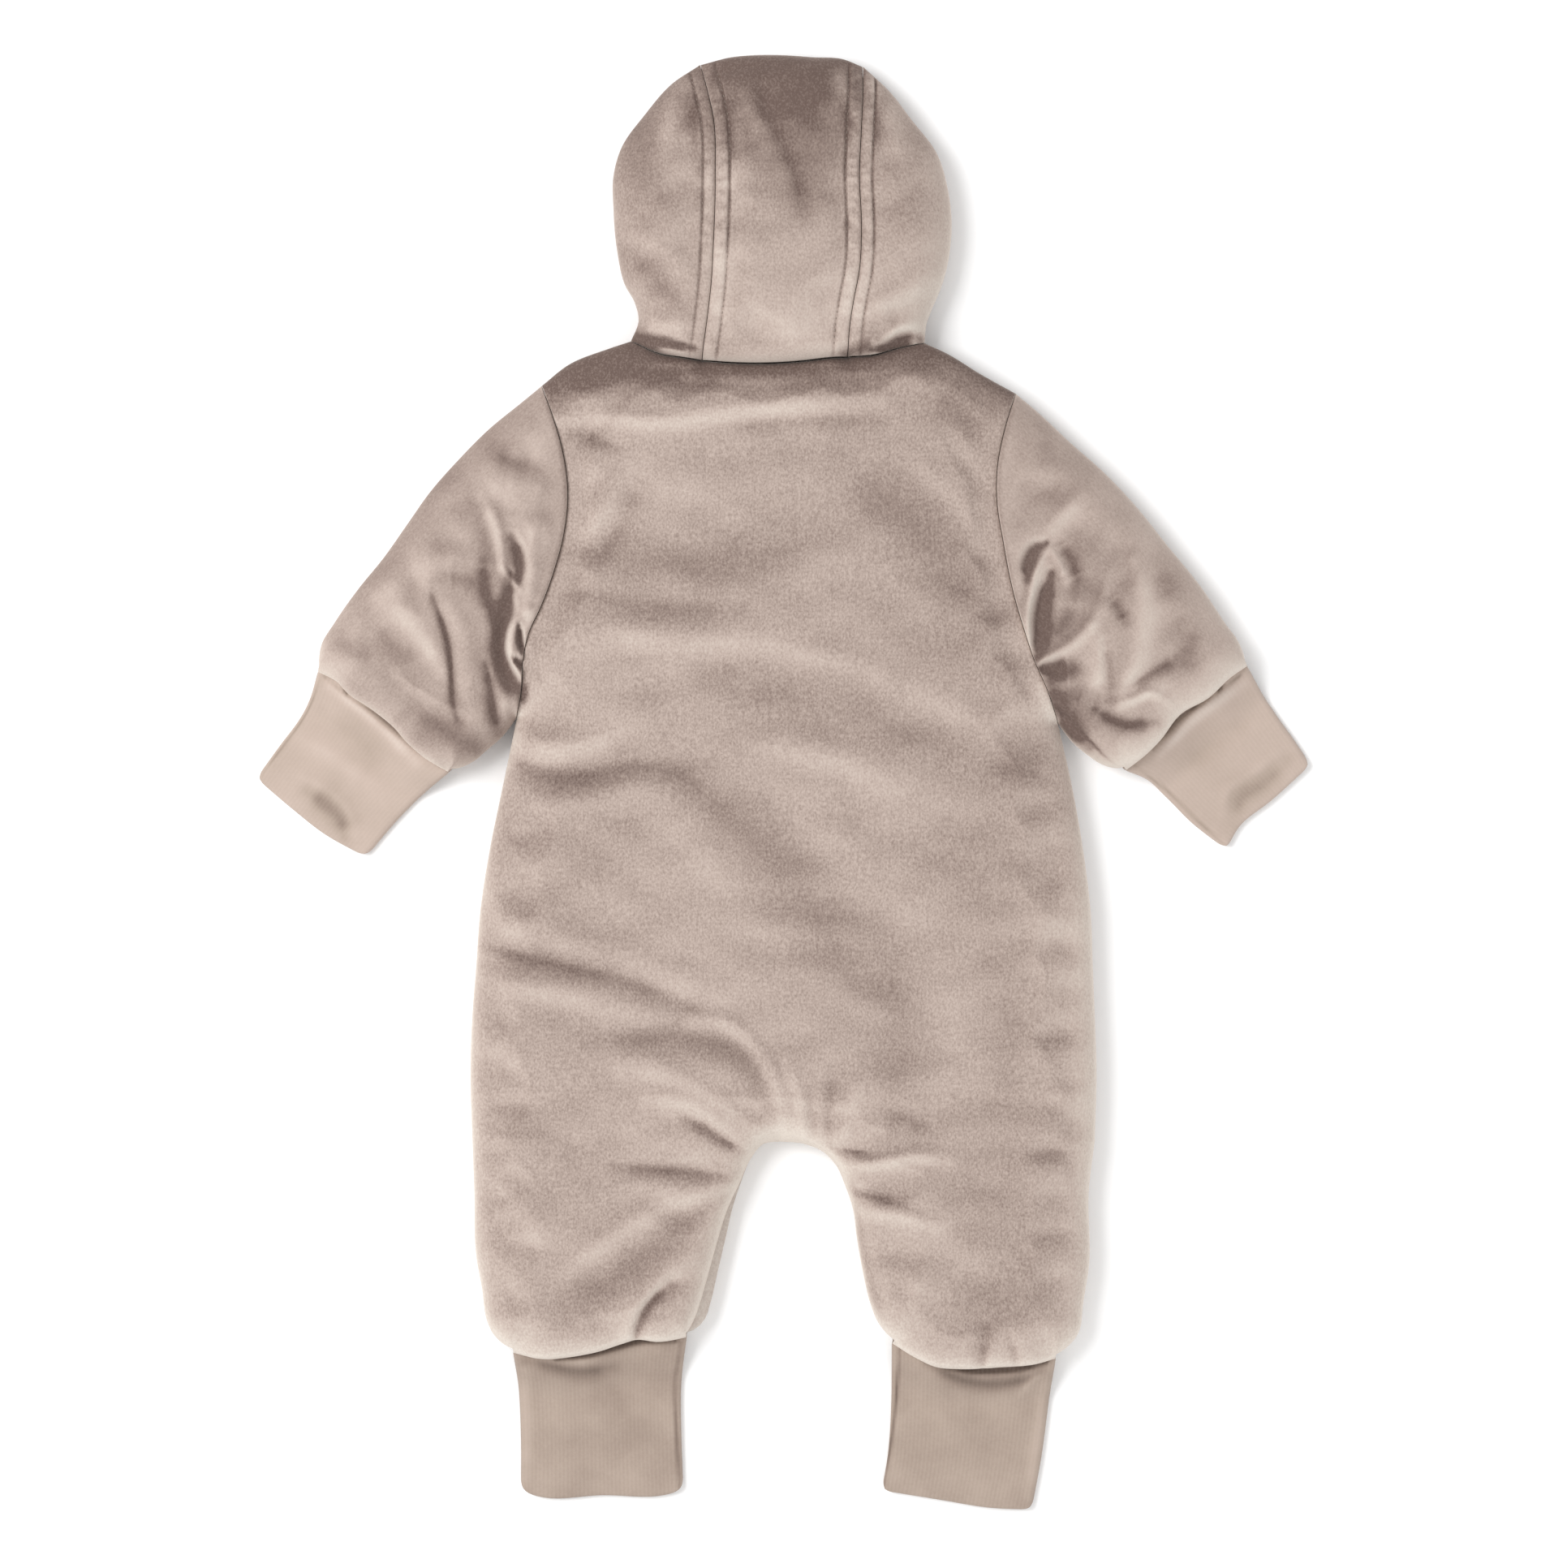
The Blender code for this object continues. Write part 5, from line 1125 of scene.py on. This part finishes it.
GROOVE_UNEVEN = (0.5, 9, 9)   # how its depth varies, and over what length and width
SEAM_PAINTED_SHADE = (0.45, 0.2)  # width of the painted shade along a hood seam, and how dark it is
EDGE_SHOWN = 4           # how soon the grooves and bands fade in from the hood's outline
PUCKER = (0.5, 0.35)     # height of the small puckers between the rows of stitches, and their painted light and shade, lighter where they rise
PUCKER_SIZE = (5, 2.4)
BAND = (0.45, 0.12)      # how much higher the band between the rows of stitches is, and its painted light
BAND_EDGES = (1.5, 0.6)  # its edge's width at the stitches, and where it starts beside the seam
STITCHED = ((225, 300), (0.55, 1))    # along the hood, how much of the grooves and bands shows
stitch_lines = [aside(smooth(shape.seam), -BODY[name].near * distance)
                for name, shape in HOOD.items() for distance in (-STITCH_IN, STITCH_OUT)]
outlines = [smooth(CROWN)] + [smooth(shape.edge) for shape in HOOD.values()]
necks = [smooth(NECK_CENTER)] + [smooth(side.neck) for side in BODY.values()]
faces_round = [smooth(FACE_TOP)] + [smooth(shape.face) for shape in HOOD.values()]
hood_rounds = [(curve, HOOD_ROUND["outline"]) for curve in outlines]
hood_rounds += [(curve, HOOD_ROUND["neck"]) for curve in necks]
hood_seams = [smooth(shape.seam) for shape in HOOD.values()]
hood_rounds += [(seam, HOOD_ROUND["seam"]) for seam in hood_seams]
hood_under_rounds = [(curve, HOOD_UNDER_ROUND["outline"]) for curve in outlines]
hood_under_rounds += [(curve, HOOD_UNDER_ROUND["face"]) for curve in faces_round]
hood_under_rounds += [(smooth(neck), HOOD_UNDER_ROUND["neck"]) for neck in FRONT_NECK.values()]


def hood_piece(name, upper_plan, under_plan, lining_plan, inner_plan):
    """A hood panel: upper layer, folded at the outline to the under layer, and its inside."""
    upper = upper_layer(upper_plan, hood_rounds, HOOD_TOP, HOOD_FOLDS, HOOD_PILE[name],
                        low=SEAM_LEVEL)
    shown = np.clip(EDGE_SHOWN * fullness(upper_plan, hood_rounds), 0, 1)
    shown = shown * np.interp(upper_plan[..., 1], *STITCHED)
    for line in stitch_lines:
        gap = nearest(upper_plan, line[::2])[0]
        groove = np.exp(-(gap / STITCH_GROOVE[0]) ** 2)
        groove = groove * (1 + rumpled(upper_plan, *GROOVE_UNEVEN)) * shown
        upper.points[..., 2] -= STITCH_GROOVE[1] * groove
        # painted shade in the groove
        upper.tone[...] -= GROOVE_PAINTED_SHADE * groove
    for seam in hood_seams:
        gap = nearest(upper_plan, seam[::2])[0]
        band = np.clip((STITCH_IN - gap) / BAND_EDGES[0], 0, 1)
        band = band * np.clip(gap - BAND_EDGES[1], 0, 1) * shown
        upper.points[..., 2] += band * (BAND[0] + rumpled(upper_plan, PUCKER[0], *PUCKER_SIZE))
        # painted light on the raised band, lighter where its puckers rise
        upper.tone[...] += band * (BAND[1] + rumpled(upper_plan, PUCKER[1], *PUCKER_SIZE))
        # painted shade along the seam
        upper.tone[...] -= SEAM_PAINTED_SHADE[1] * np.exp(-(gap / SEAM_PAINTED_SHADE[0]) ** 2) * shown
    under = lower_layer(under_plan, hood_under_rounds, (), high=SEAM_LEVEL)
    full = fullness(lining_plan, hood_rounds)
    lining = SEAM_LEVEL + SEAM_GAP + (HOOD_LINING - SEAM_LEVEL - SEAM_GAP) * full
    lining = np.dstack([lining_plan, np.minimum(lining, upper.points[..., 2] - 1)])
    fold = np.maximum(SEAM_LEVEL - SEAM_GAP, under.points[..., 2] + SEAM_GAP)
    fold = np.dstack([inner_plan, fold])
    outer = np.concatenate([upper.points, under.points[:, 1:]], axis=1)
    inner = np.concatenate([lining, fold[:, 1:]], axis=1)
    tone = np.concatenate([upper.tone, under.tone[:, 1:]], axis=1)
    free = np.concatenate([upper.free, under.free[:, 1:]], axis=1)
    still = np.zeros(inner.shape[:2])
    points, faces, tones, free = sewn(
        Layer(outer, tone, free), Layer(inner, still, still),
        strip(outer[0], inner[0]), strip(outer[-1], inner[-1]),
        strip(outer[:, 0], inner[:, 0]), strip(outer[:, -1], inner[:, -1]))
    piece = add_piece(name + "_velour", points, faces, velour, {"tone": tones, "free": free})
    finish_velour(piece, name, HOOD_PILE[name])
    return piece


LINING_IN = 0.94         # a side panel's inside ends at this share of the way to the outline
STRIP_LINING_IN = 0.98   # and the centre strip's at this share of the way to the crown
TURNED_IN = 0.08         # share of the under layer that its edge is turned in by
UNDER_WIDTH, UNDER_DEPTH = 42, 38      # about the widths of the side's and the strip's under layer
SQUEEZED_BELOW = 26      # a side panel narrower than this has narrower cells at its edges
SIDE_CELLS, STRIP_CELLS = 24, 38       # points across a side panel and the strip, between the rows
hood_down = spread(length_of(smooth(HOOD["left"].seam)))
hood_pieces = []
for name, shape in HOOD.items():
    near = BODY[name].near
    edge = smooth(shape.edge)
    strip_seam = aside(smooth(shape.seam), -near * INSET)
    neck = meeting(aside(smooth(BODY[name].neck), -near * INSET)[::-1], strip_seam[0], edge[0], 1)
    tip = np.array([strip_seam[-1], edge[-1]])
    width = np.linalg.norm(at_shares(strip_seam, hood_down) - at_shares(edge, hood_down), axis=1)
    squeeze = np.minimum(1, width[:, None] / SQUEEZED_BELOW)
    near_seam = np.array(STITCH_PLACES) * squeeze
    near_edge = width[:, None] - np.array(NEAR_SEAM)[::-1] * squeeze
    free_width = near_edge[:, :1] - near_seam[:, -1:]
    between = near_seam[:, -1:] + free_width * np.linspace(0, 1, SIDE_CELLS)[1:-1]
    across = np.hstack([near_seam, between, near_edge]) / width[:, None]
    upper_plan = fill_between(neck, tip, strip_seam, edge, across, hood_down)
    lining_plan = fill_between(neck, tip, strip_seam, edge, across * LINING_IN, hood_down)
    front_neck = meeting(aside(smooth(FRONT_NECK[name]), -near * INSET), start=edge[0], bend=1)
    face = meeting(smooth(shape.face), start=front_neck[-1], bend=1)
    crown_seam = np.array([edge[-1], face[-1]])
    under_across = spread(UNDER_WIDTH, cell=FRONT_CELL)
    under_plan = fill_between(front_neck, crown_seam, edge, face, under_across, hood_down)
    inner_plan = fill_between(front_neck, crown_seam, edge, face,
                              TURNED_IN + (1 - TURNED_IN) * under_across, hood_down)
    hood_pieces.append(hood_piece("hood_" + name, upper_plan, under_plan, lining_plan, inner_plan))

seams = [aside(smooth(HOOD[name].seam), BODY[name].near * INSET) for name in ("left", "right")]
neck = meeting(aside(smooth(NECK_CENTER), -INSET), seams[0][0], seams[1][0], 1)
crown = meeting(smooth(CROWN), seams[0][-1], seams[1][-1], 1)
face = smooth(FACE_TOP)
strip_width = length_of(neck)
stitched_edge = np.array(STITCH_PLACES) * STITCH_IN / STITCH_OUT
between = np.linspace(stitched_edge[-1], strip_width - stitched_edge[-1], STRIP_CELLS)[1:-1]
strip_down = np.concatenate([stitched_edge, between, strip_width - stitched_edge[::-1]])
strip_down = strip_down / strip_width
upper_plan = fill_between(*seams, neck, crown, hood_down, strip_down)
lining_plan = fill_between(*seams, neck, crown, hood_down * STRIP_LINING_IN, strip_down)
under_across = spread(UNDER_DEPTH, cell=FRONT_CELL)
crown_to_face = [np.array([crown[end], face[end]]) for end in (0, -1)]
under_plan = fill_between(*crown_to_face, crown, face, under_across, strip_down)
inner_plan = fill_between(*crown_to_face, crown, face,
                          TURNED_IN + (1 - TURNED_IN) * under_across, strip_down)
hood_pieces.append(hood_piece("hood_center", upper_plan, under_plan, lining_plan, inner_plan))

# ------------------------------------------------------------------------------------------------
# Topstitching of the hood: polyester thread, in stitches 3.2 mm apart. The upper 2.5 mm of each
# shows, and lies in the groove that the row of stitches draws.
STITCH_LENGTH = 2.5      # what shows of a stitch
STITCH_PITCH = 3.2
THREAD = 0.45
STITCH_SIDES = 6
STITCH_SHAPE = ((0.3, -0.25), (1, 0.1), (0.3, -0.25))   # its thickness, and its height, along it
LINE_ENDS = (4, 6)       # from a seam's ends to the first and the last stitch
thread = patterned("polyester_thread", 0.6, 500.0, ((0.0, "#75685F"), (1.0, "#8F8177")),
                   bands="DIAGONAL")
surfaces = []
for piece in hood_pieces:
    shape = bmesh.new()
    shape.from_mesh(piece.data)
    surfaces.append(BVHTree.FromBMesh(shape))
    shape.free()
points, faces = [], []
ring = [(np.cos(angle), np.sin(angle))
        for angle in np.linspace(0, 2 * np.pi, STITCH_SIDES, endpoint=False)]
for line in stitch_lines:
    total = length_of(line)
    for start in np.arange(LINE_ENDS[0], total - LINE_ENDS[1], STITCH_PITCH):
        ends = np.array([start, start + STITCH_LENGTH / 2, start + STITCH_LENGTH])
        ends = at_shares(line, ends / total)
        heights = []
        for x, y in ends:
            hits = [surface.ray_cast(Vector((x, y, 100)) * MM, Vector((0, 0, -1)))[0]
                    for surface in surfaces]
            heights += [max(hit.z / MM for hit in hits if hit)] if any(hits) else []
        if len(heights) < len(ends):
            continue
        way = (ends[2] - ends[0]) / np.linalg.norm(ends[2] - ends[0])
        base = len(points)
        for (x, y), z, (size, rise) in zip(ends, heights, STITCH_SHAPE):
            for c, s in ring:
                points.append((x - way[1] * c * THREAD / 2 * size, y + way[0] * c * THREAD / 2 * size,
                               z + rise + s * THREAD / 2 * size))
        for row in (base, base + STITCH_SIDES):
            for k in range(STITCH_SIDES):
                after = (k + 1) % STITCH_SIDES
                faces.append((row + k, row + after, row + STITCH_SIDES + after,
                              row + STITCH_SIDES + k))
        faces += [tuple(end + k for k in range(STITCH_SIDES))
                  for end in (base, base + 2 * STITCH_SIDES)]
stitches = add_piece("hood_topstitching", points, faces, thread)
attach(stitches, "root")

# ------------------------------------------------------------------------------------------------
# Cuffs. Tubes of fine cotton jersey, knitted in one colour with the velour, folded double at their
# ends and sewn under the hems. They lie flat, with one seam along the inner arm or leg.
CUFF_THICK = 5.2         # a flattened cuff: two layers of doubled jersey
CUFF_SLIT = 1.2          # height of the opening inside it
CUFF_SLIT_PLACE = (0.03, 0.94)         # where it starts and its width, as shares of the cuff's
CUFF_SIDE, CUFF_MOUTH = Round(0, 3), Round(0.4, 2.2)   # how a cuff rounds off at its edges
SLIT_LEAST = 0.1         # the opening's least height, as a share
SHADE_LEAST = 0.02
CUFF_END = 1.5           # how near its corners its sides are bent to meet its end
CUFF_DROP = 26.0         # along the cuff, from its seam down to the surface
CUFF_CELL = 1.4
CUFF_CORNER = 4.5        # radius of a cuff's corners at its end
CORNER_CUT = 0.41        # from a square corner to the round one, as a share of its radius
CORNER_REACH = 1.5       # how far along its sides a corner is drawn in
CUFF_SET_IN = HEM_SET_IN - SEAM_GAP
# A cuff's level is its tone on the jersey's ramp: the sleeves' cuffs are painted lighter than the
# legs', as painted light, and its folds paint its shade and light.
Cuff = namedtuple("Cuff", "node hem near level outer end inner folds rests_on")
CUFFS = (
    Cuff("cuff_sleeve_left", SLEEVES["left"].hem, 1, 0.51,
         ((-241, 58), (-245, 46), (-252, 33), (-261, 21), (-274, 3)),
         ((-274, 3), (-254, -14), (-240, -25), (-217, -38)),
         ((-173, 6), (-189, -7), (-199, -17), (-217, -38)),
         (  # painted shadow in the gap under the hem, and a painted light band beside it
          ((0.4, 0.5, 0.8, 2.4, 0.7, 0.4), -2.4, -1.8, ((-237, 55), (-228, 48.4), (-218, 41.4),
           (-205.5, 33), (-198.6, 26), (-187, 15))),
          ((2.4, 3.4, 3.4), 0.6, 0.9, ((-235, 50), (-213.6, 34.6), (-190, 11))),
          # soft creases and the dent at the end, painted darker in their hollows and lighter on their
          # ridges
          ((4, 7, 5), -0.6, -0.35, ((-238, 36), (-222, 24), (-204, 4))),
          ((3, 5, 4), 0.5, 0.3, ((-250, 24), (-234, 14), (-214, 0))),
          ((4, 7, 7, 4), -1.4, -1.2, ((-247, -4), (-239, -10), (-230, -19), (-228, -28)), 0.2),
          ((2.5, 3, 3), 0.8, 0.35, ((-249, 3), (-236, -4), (-226, -14), (-222, -26))),
          (0.8, -0.8, -0.9, ((-239, 56), (-243.4, 45), (-250, 33), (-258.6, 21), (-271, 5)))),
         "sleeve_left_velour"),
    Cuff("cuff_sleeve_right", SLEEVES["right"].hem, -1, 0.53,
         ((240, 61), (248, 48), (256, 36), (266, 22), (274, 10)),
         ((274, 10), (253, -9), (237, -22), (230, -34)),
         ((177, 7), (189, 2), (199, -7), (212, -20), (230, -34)),
         # painted shadow in the gap under the hem, a painted light band beside it, painted shade in
         # creases, the dent and the seam
         (((0.4, 2.4, 1.1, 0.5, 0.4), -2.4, -1.9, ((191, 18), (203.4, 33), (215, 41.4), (225, 48.6),
           (236, 56))),
          ((2.4, 3.4, 3.4), 0.6, 0.9, ((195, 15), (212.6, 33.4), (238, 52))),
          ((4, 7, 5), -0.5, -0.3, ((206, 8), (226, 22), (246, 36))),
          ((4, 6, 6), -1.2, -0.9, ((262, 12), (250, 0), (238, -8), (235, -20)), -0.2),
          ((2.5, 3, 3), 0.7, 0.3, ((256, 16), (243, 5), (231, -3), (228, -16))),
          (0.8, -0.8, -0.9, ((181, 10), (201, -5), (218, -21.6), (229, -31.6)))),
         "sleeve_right_velour"),
    Cuff("cuff_leg_left", left.hem, 1, 0.33,
         ((-140, -294), (-138, -310), (-136.5, -340), (-136.5, -367)),
         ((-136.5, -367), (-128, -370), (-94, -369.5), (-60, -369), (-52, -366.5)),
         ((-50, -286), (-53, -310), (-53, -340), (-52, -366.5)),
         # painted shadow in the gap under the hem, painted shade in a crease and along the seam,
         # painted light on ridges
         (((0.7, 1.2, 1.8, 1.4, 0.8), -3, -2.2, ((-118, -297.6), (-100, -294.6), (-86, -290.4),
           (-74, -287.8), (-56, -287.6))),
          ((3, 4.2, 3.6), -1, -0.9, ((-133, -298), (-119, -301.5), (-106, -304.5), (-88, -302)), -0.2),
          ((2, 2.6, 2), 0.6, 0.35, ((-128, -297), (-114, -298.6), (-98, -299))),
          (3, 0.5, 0.5, ((-134.5, -304), (-133.5, -330), (-133.5, -360))),
          ((6, 8), -0.3, -0.2, ((-90, -308), (-84, -330))),
          (0.8, -0.8, -1, ((-53, -289), (-56.3, -310), (-55.6, -336), (-54, -365)))),
         "back_velour"),
    Cuff("cuff_leg_right", right.hem, -1, 0.35,
         ((141, -297), (138, -320), (134, -350), (129, -377)),
         ((129, -377), (107, -376), (82, -372), (51, -367)),
         ((56, -289), (56, -321), (54, -350), (51, -367)),
         # painted shadow in the gap under the hem, painted shade in a crease and along the seam,
         # painted light on ridges
         (((0.9, 1.8, 2.2, 2, 1), -3, -2.6, ((84, -301.6), (96, -302.8), (110, -302.8), (122, -301.8),
           (136, -299))),
          ((3, 5, 5, 3), -1.1, -1.1, ((74, -299), (88, -307), (106, -311), (122, -309.5),
           (134, -304)), 0.2),
          ((1.6, 2.4, 2), 0.6, 0.3, ((86, -304), (104, -306.4), (126, -304))),
          (2, 0.5, 0.35, ((124, -316), (128, -310), (134, -305))),
          (3, 0.4, 0.4, ((135, -312), (131, -345), (127, -370))),
          (0.8, -0.8, -1.1, ((60, -292), (59, -313), (56, -341), (52.4, -364)))),
         "back_velour"))

# Fine cotton jersey: smooth and matt. Its wales are drawn 2.2 mm apart, coarser than the real
# 0.5 mm, so that they just show along the cuff; its courses are finer and left to the noise. The
# "shade" attribute holds each cuff's tone: painted light that makes the sleeves' cuffs lighter than
# the legs', painted shadow under a hem, painted shade in its creases, its dents and at its seam, and
# painted light on its ridges and beside the hem's gap.
JERSEY_TONES = ((0.0, "#5C4E46"), (0.25, "#8F7F74"), (0.4, "#A7978B"), (0.6, "#B9A89D"),
                (0.8, "#C9BBB1"), (1.0, "#D6CAC2"))
JERSEY_TEXTURES = (
    Texture(0.2, 45.0, (1, 1, 1)),           # patches of slacker and tighter knit
    Texture(0.08, 700.0, (1, 1, 1)),         # courses
)
# how strongly the folds' painted shade and light show on a cuff
JERSEY_SHADED = 0.25
jersey, tree, shader = new_material("cotton_jersey", 0.9)
place = add_node(tree, "ShaderNodeTexCoord").outputs["Object"]
knit = add_node(tree, "ShaderNodeAttribute", attribute_name="knit").outputs["Vector"]
shade = add_node(tree, "ShaderNodeAttribute", attribute_name="shade").outputs["Fac"]
wales = add_node(tree, "ShaderNodeTexWave", {"Vector": knit, "Scale": 145.0, "Distortion": 0.6},
                 bands_direction="X").outputs[1]
tone = add_node(tree, "ShaderNodeMath", {0: wales, 1: 0.03, 2: shade},
                operation="MULTIPLY_ADD").outputs[0]
for texture in JERSEY_TEXTURES:
    pattern = add_node(tree, "ShaderNodeTexNoise", {"Vector": place, "Scale": texture.scale})
    centred = add_node(tree, "ShaderNodeMath", {0: pattern.outputs[0], 1: -0.5}, operation="ADD")
    tone = add_node(tree, "ShaderNodeMath", {0: centred.outputs[0], 1: texture.strength, 2: tone},
                    operation="MULTIPLY_ADD").outputs[0]
tree.links.new(through_tones(tree, tone, JERSEY_TONES), shader.inputs["Base Color"])
ribs = add_node(tree, "ShaderNodeBump", {"Height": wales, "Strength": 0.1, "Distance": 0.15 * MM})
tree.links.new(ribs.outputs[0], shader.inputs["Normal"])
shader.inputs["Specular IOR Level"].default_value = 0.2
shader.inputs["Sheen Weight"].default_value = 0.12


def corners_rounded(points, corners, radius):
    """Points near a flat piece's corners, drawn in so that the corners are round."""
    for corner in corners:
        gap = np.linalg.norm(points - corner, axis=-1)
        way = points.reshape(-1, 2).mean(0) - corner
        way = way / np.linalg.norm(way)
        drawn_in = CORNER_CUT * radius * np.clip(1 - gap / (CORNER_REACH * radius), 0, 1) ** 2
        points = points + drawn_in[..., None] * way
    return points


for cuff in CUFFS:
    near = cuff.near
    seam = aside(smooth(cuff.hem), -near * CUFF_SET_IN)
    end = smooth(cuff.end)
    outer, inner = smooth(cuff.outer), smooth(cuff.inner)
    outer = meeting(outer, seam[0], end[0], CUFF_END)
    inner = meeting(inner, seam[-1], end[-1], CUFF_END)
    length = (length_of(outer) + length_of(inner)) / 2
    width = (length_of(seam) + length_of(end)) / 2
    across = spread(width, cell=CUFF_CELL)
    down = spread(length, fine_start=False, cell=CUFF_CELL)
    plan = fill_between(seam, end, outer, inner, across, down)
    plan = corners_rounded(plan, (end[0], end[-1]), CUFF_CORNER)
    fall = np.clip(down * length / CUFF_DROP, 0, 1)
    fall = (fall * fall * (3 - 2 * fall))[:, None]
    middle = SEAM_LEVEL + (CUFF_THICK / 2 - SEAM_LEVEL) * fall
    share = fullness(plan, ((outer, CUFF_SIDE), (inner, CUFF_SIDE), (end, CUFF_MOUTH)))
    relief, tone = folded(plan, cuff.folds)
    middle = middle + relief * share
    squeezed = CUFF_SLIT_PLACE[0] + CUFF_SLIT_PLACE[1] * across
    slit_plan = fill_between(seam, end, outer, inner, squeezed, down)
    slit_plan = corners_rounded(slit_plan, (end[0], end[-1]), CUFF_CORNER)
    rows = []
    for sign in (1, -1):
        face = np.dstack([plan, middle + sign * CUFF_THICK / 2 * share])
        slit = np.dstack([slit_plan, middle + sign * CUFF_SLIT / 2 * np.clip(share, SLIT_LEAST, 1)])
        rows.append((face, slit))
    loop = np.concatenate([rows[0][0], rows[1][0][:, ::-1]], axis=1)
    slit_loop = np.concatenate([rows[0][1], rows[1][1][:, ::-1]], axis=1)
    wall = np.concatenate([loop, slit_loop[::-1], loop[:1]], axis=0)
    wall = np.concatenate([wall, wall[:, :1]], axis=1)
    wall[..., 2] = np.maximum(wall[..., 2], 0)
    # the cuff's tone, with the painted shade and light of its folds
    shade = np.zeros(wall.shape[:2])
    shade[:len(tone), :len(across)] = tone
    shade = np.clip(cuff.level + JERSEY_SHADED * shade, SHADE_LEAST, 1)
    around = np.concatenate([across, 2 - across[::-1], [2.0]]) * width
    knit_u = np.broadcast_to(around, wall.shape[:2])
    points, faces, knits, shades = sewn(Layer(wall, knit_u, shade))
    piece = add_piece(cuff.node + "_jersey", points, faces, jersey, {"shade": shades})
    knit = np.zeros((len(points), 3), np.float32)
    knit[:, 0] = MM * np.array(knits)
    give_values(piece.data, "knit", knit)
    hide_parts(cuff.node)
    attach(piece, "root")

# ------------------------------------------------------------------------------------------------
# Stage: a pale floor, soft light from the left, a low fill, and a camera straight above.
PAPER = 0.95
SKY = 0.76
bpy.ops.mesh.primitive_plane_add(size=8)
floor = bpy.context.object
floor.name = "floor"
paper, tree, shader = new_material("white_paper", 1.0)
shader.inputs["Base Color"].default_value = (PAPER, PAPER, PAPER, 1)
shader.inputs["Specular IOR Level"].default_value = 0
floor.data.materials.append(paper)

world = bpy.context.scene.world or bpy.data.worlds.new("studio")
bpy.context.scene.world = world
world.use_nodes = True
sky = next(node for node in world.node_tree.nodes if node.type == "BACKGROUND")
sky.inputs["Color"].default_value = (1, 1, 1, 1)
sky.inputs["Strength"].default_value = SKY
Lamp = namedtuple("Lamp", "name place size power")
for lamp in (Lamp("key", (-1.35, 0.5, 1.95), 1.2, 41.0), Lamp("fill", (0.9, -1.5, 1.0), 1.4, 9.0)):
    bpy.ops.object.light_add(type="AREA", location=lamp.place)
    light = bpy.context.object
    light.name = lamp.name
    light.data.size = lamp.size
    light.data.energy = lamp.power
    light.rotation_euler = (-light.location).to_track_quat("-Z", "Y").to_euler()

CAMERA_HEIGHT = 2.4
PHOTO_HEIGHT = 0.8114    # what the photo's height spans at the suit's middle level
camera = bpy.data.objects.new("camera", bpy.data.cameras.new("camera"))
bpy.context.scene.collection.objects.link(camera)
camera.location = (0, 0, CAMERA_HEIGHT)
camera.data.lens = camera.data.sensor_width * (CAMERA_HEIGHT - SEAM_LEVEL * MM) / PHOTO_HEIGHT
bpy.context.scene.camera = camera
bpy.context.scene.view_settings.view_transform = "Standard"
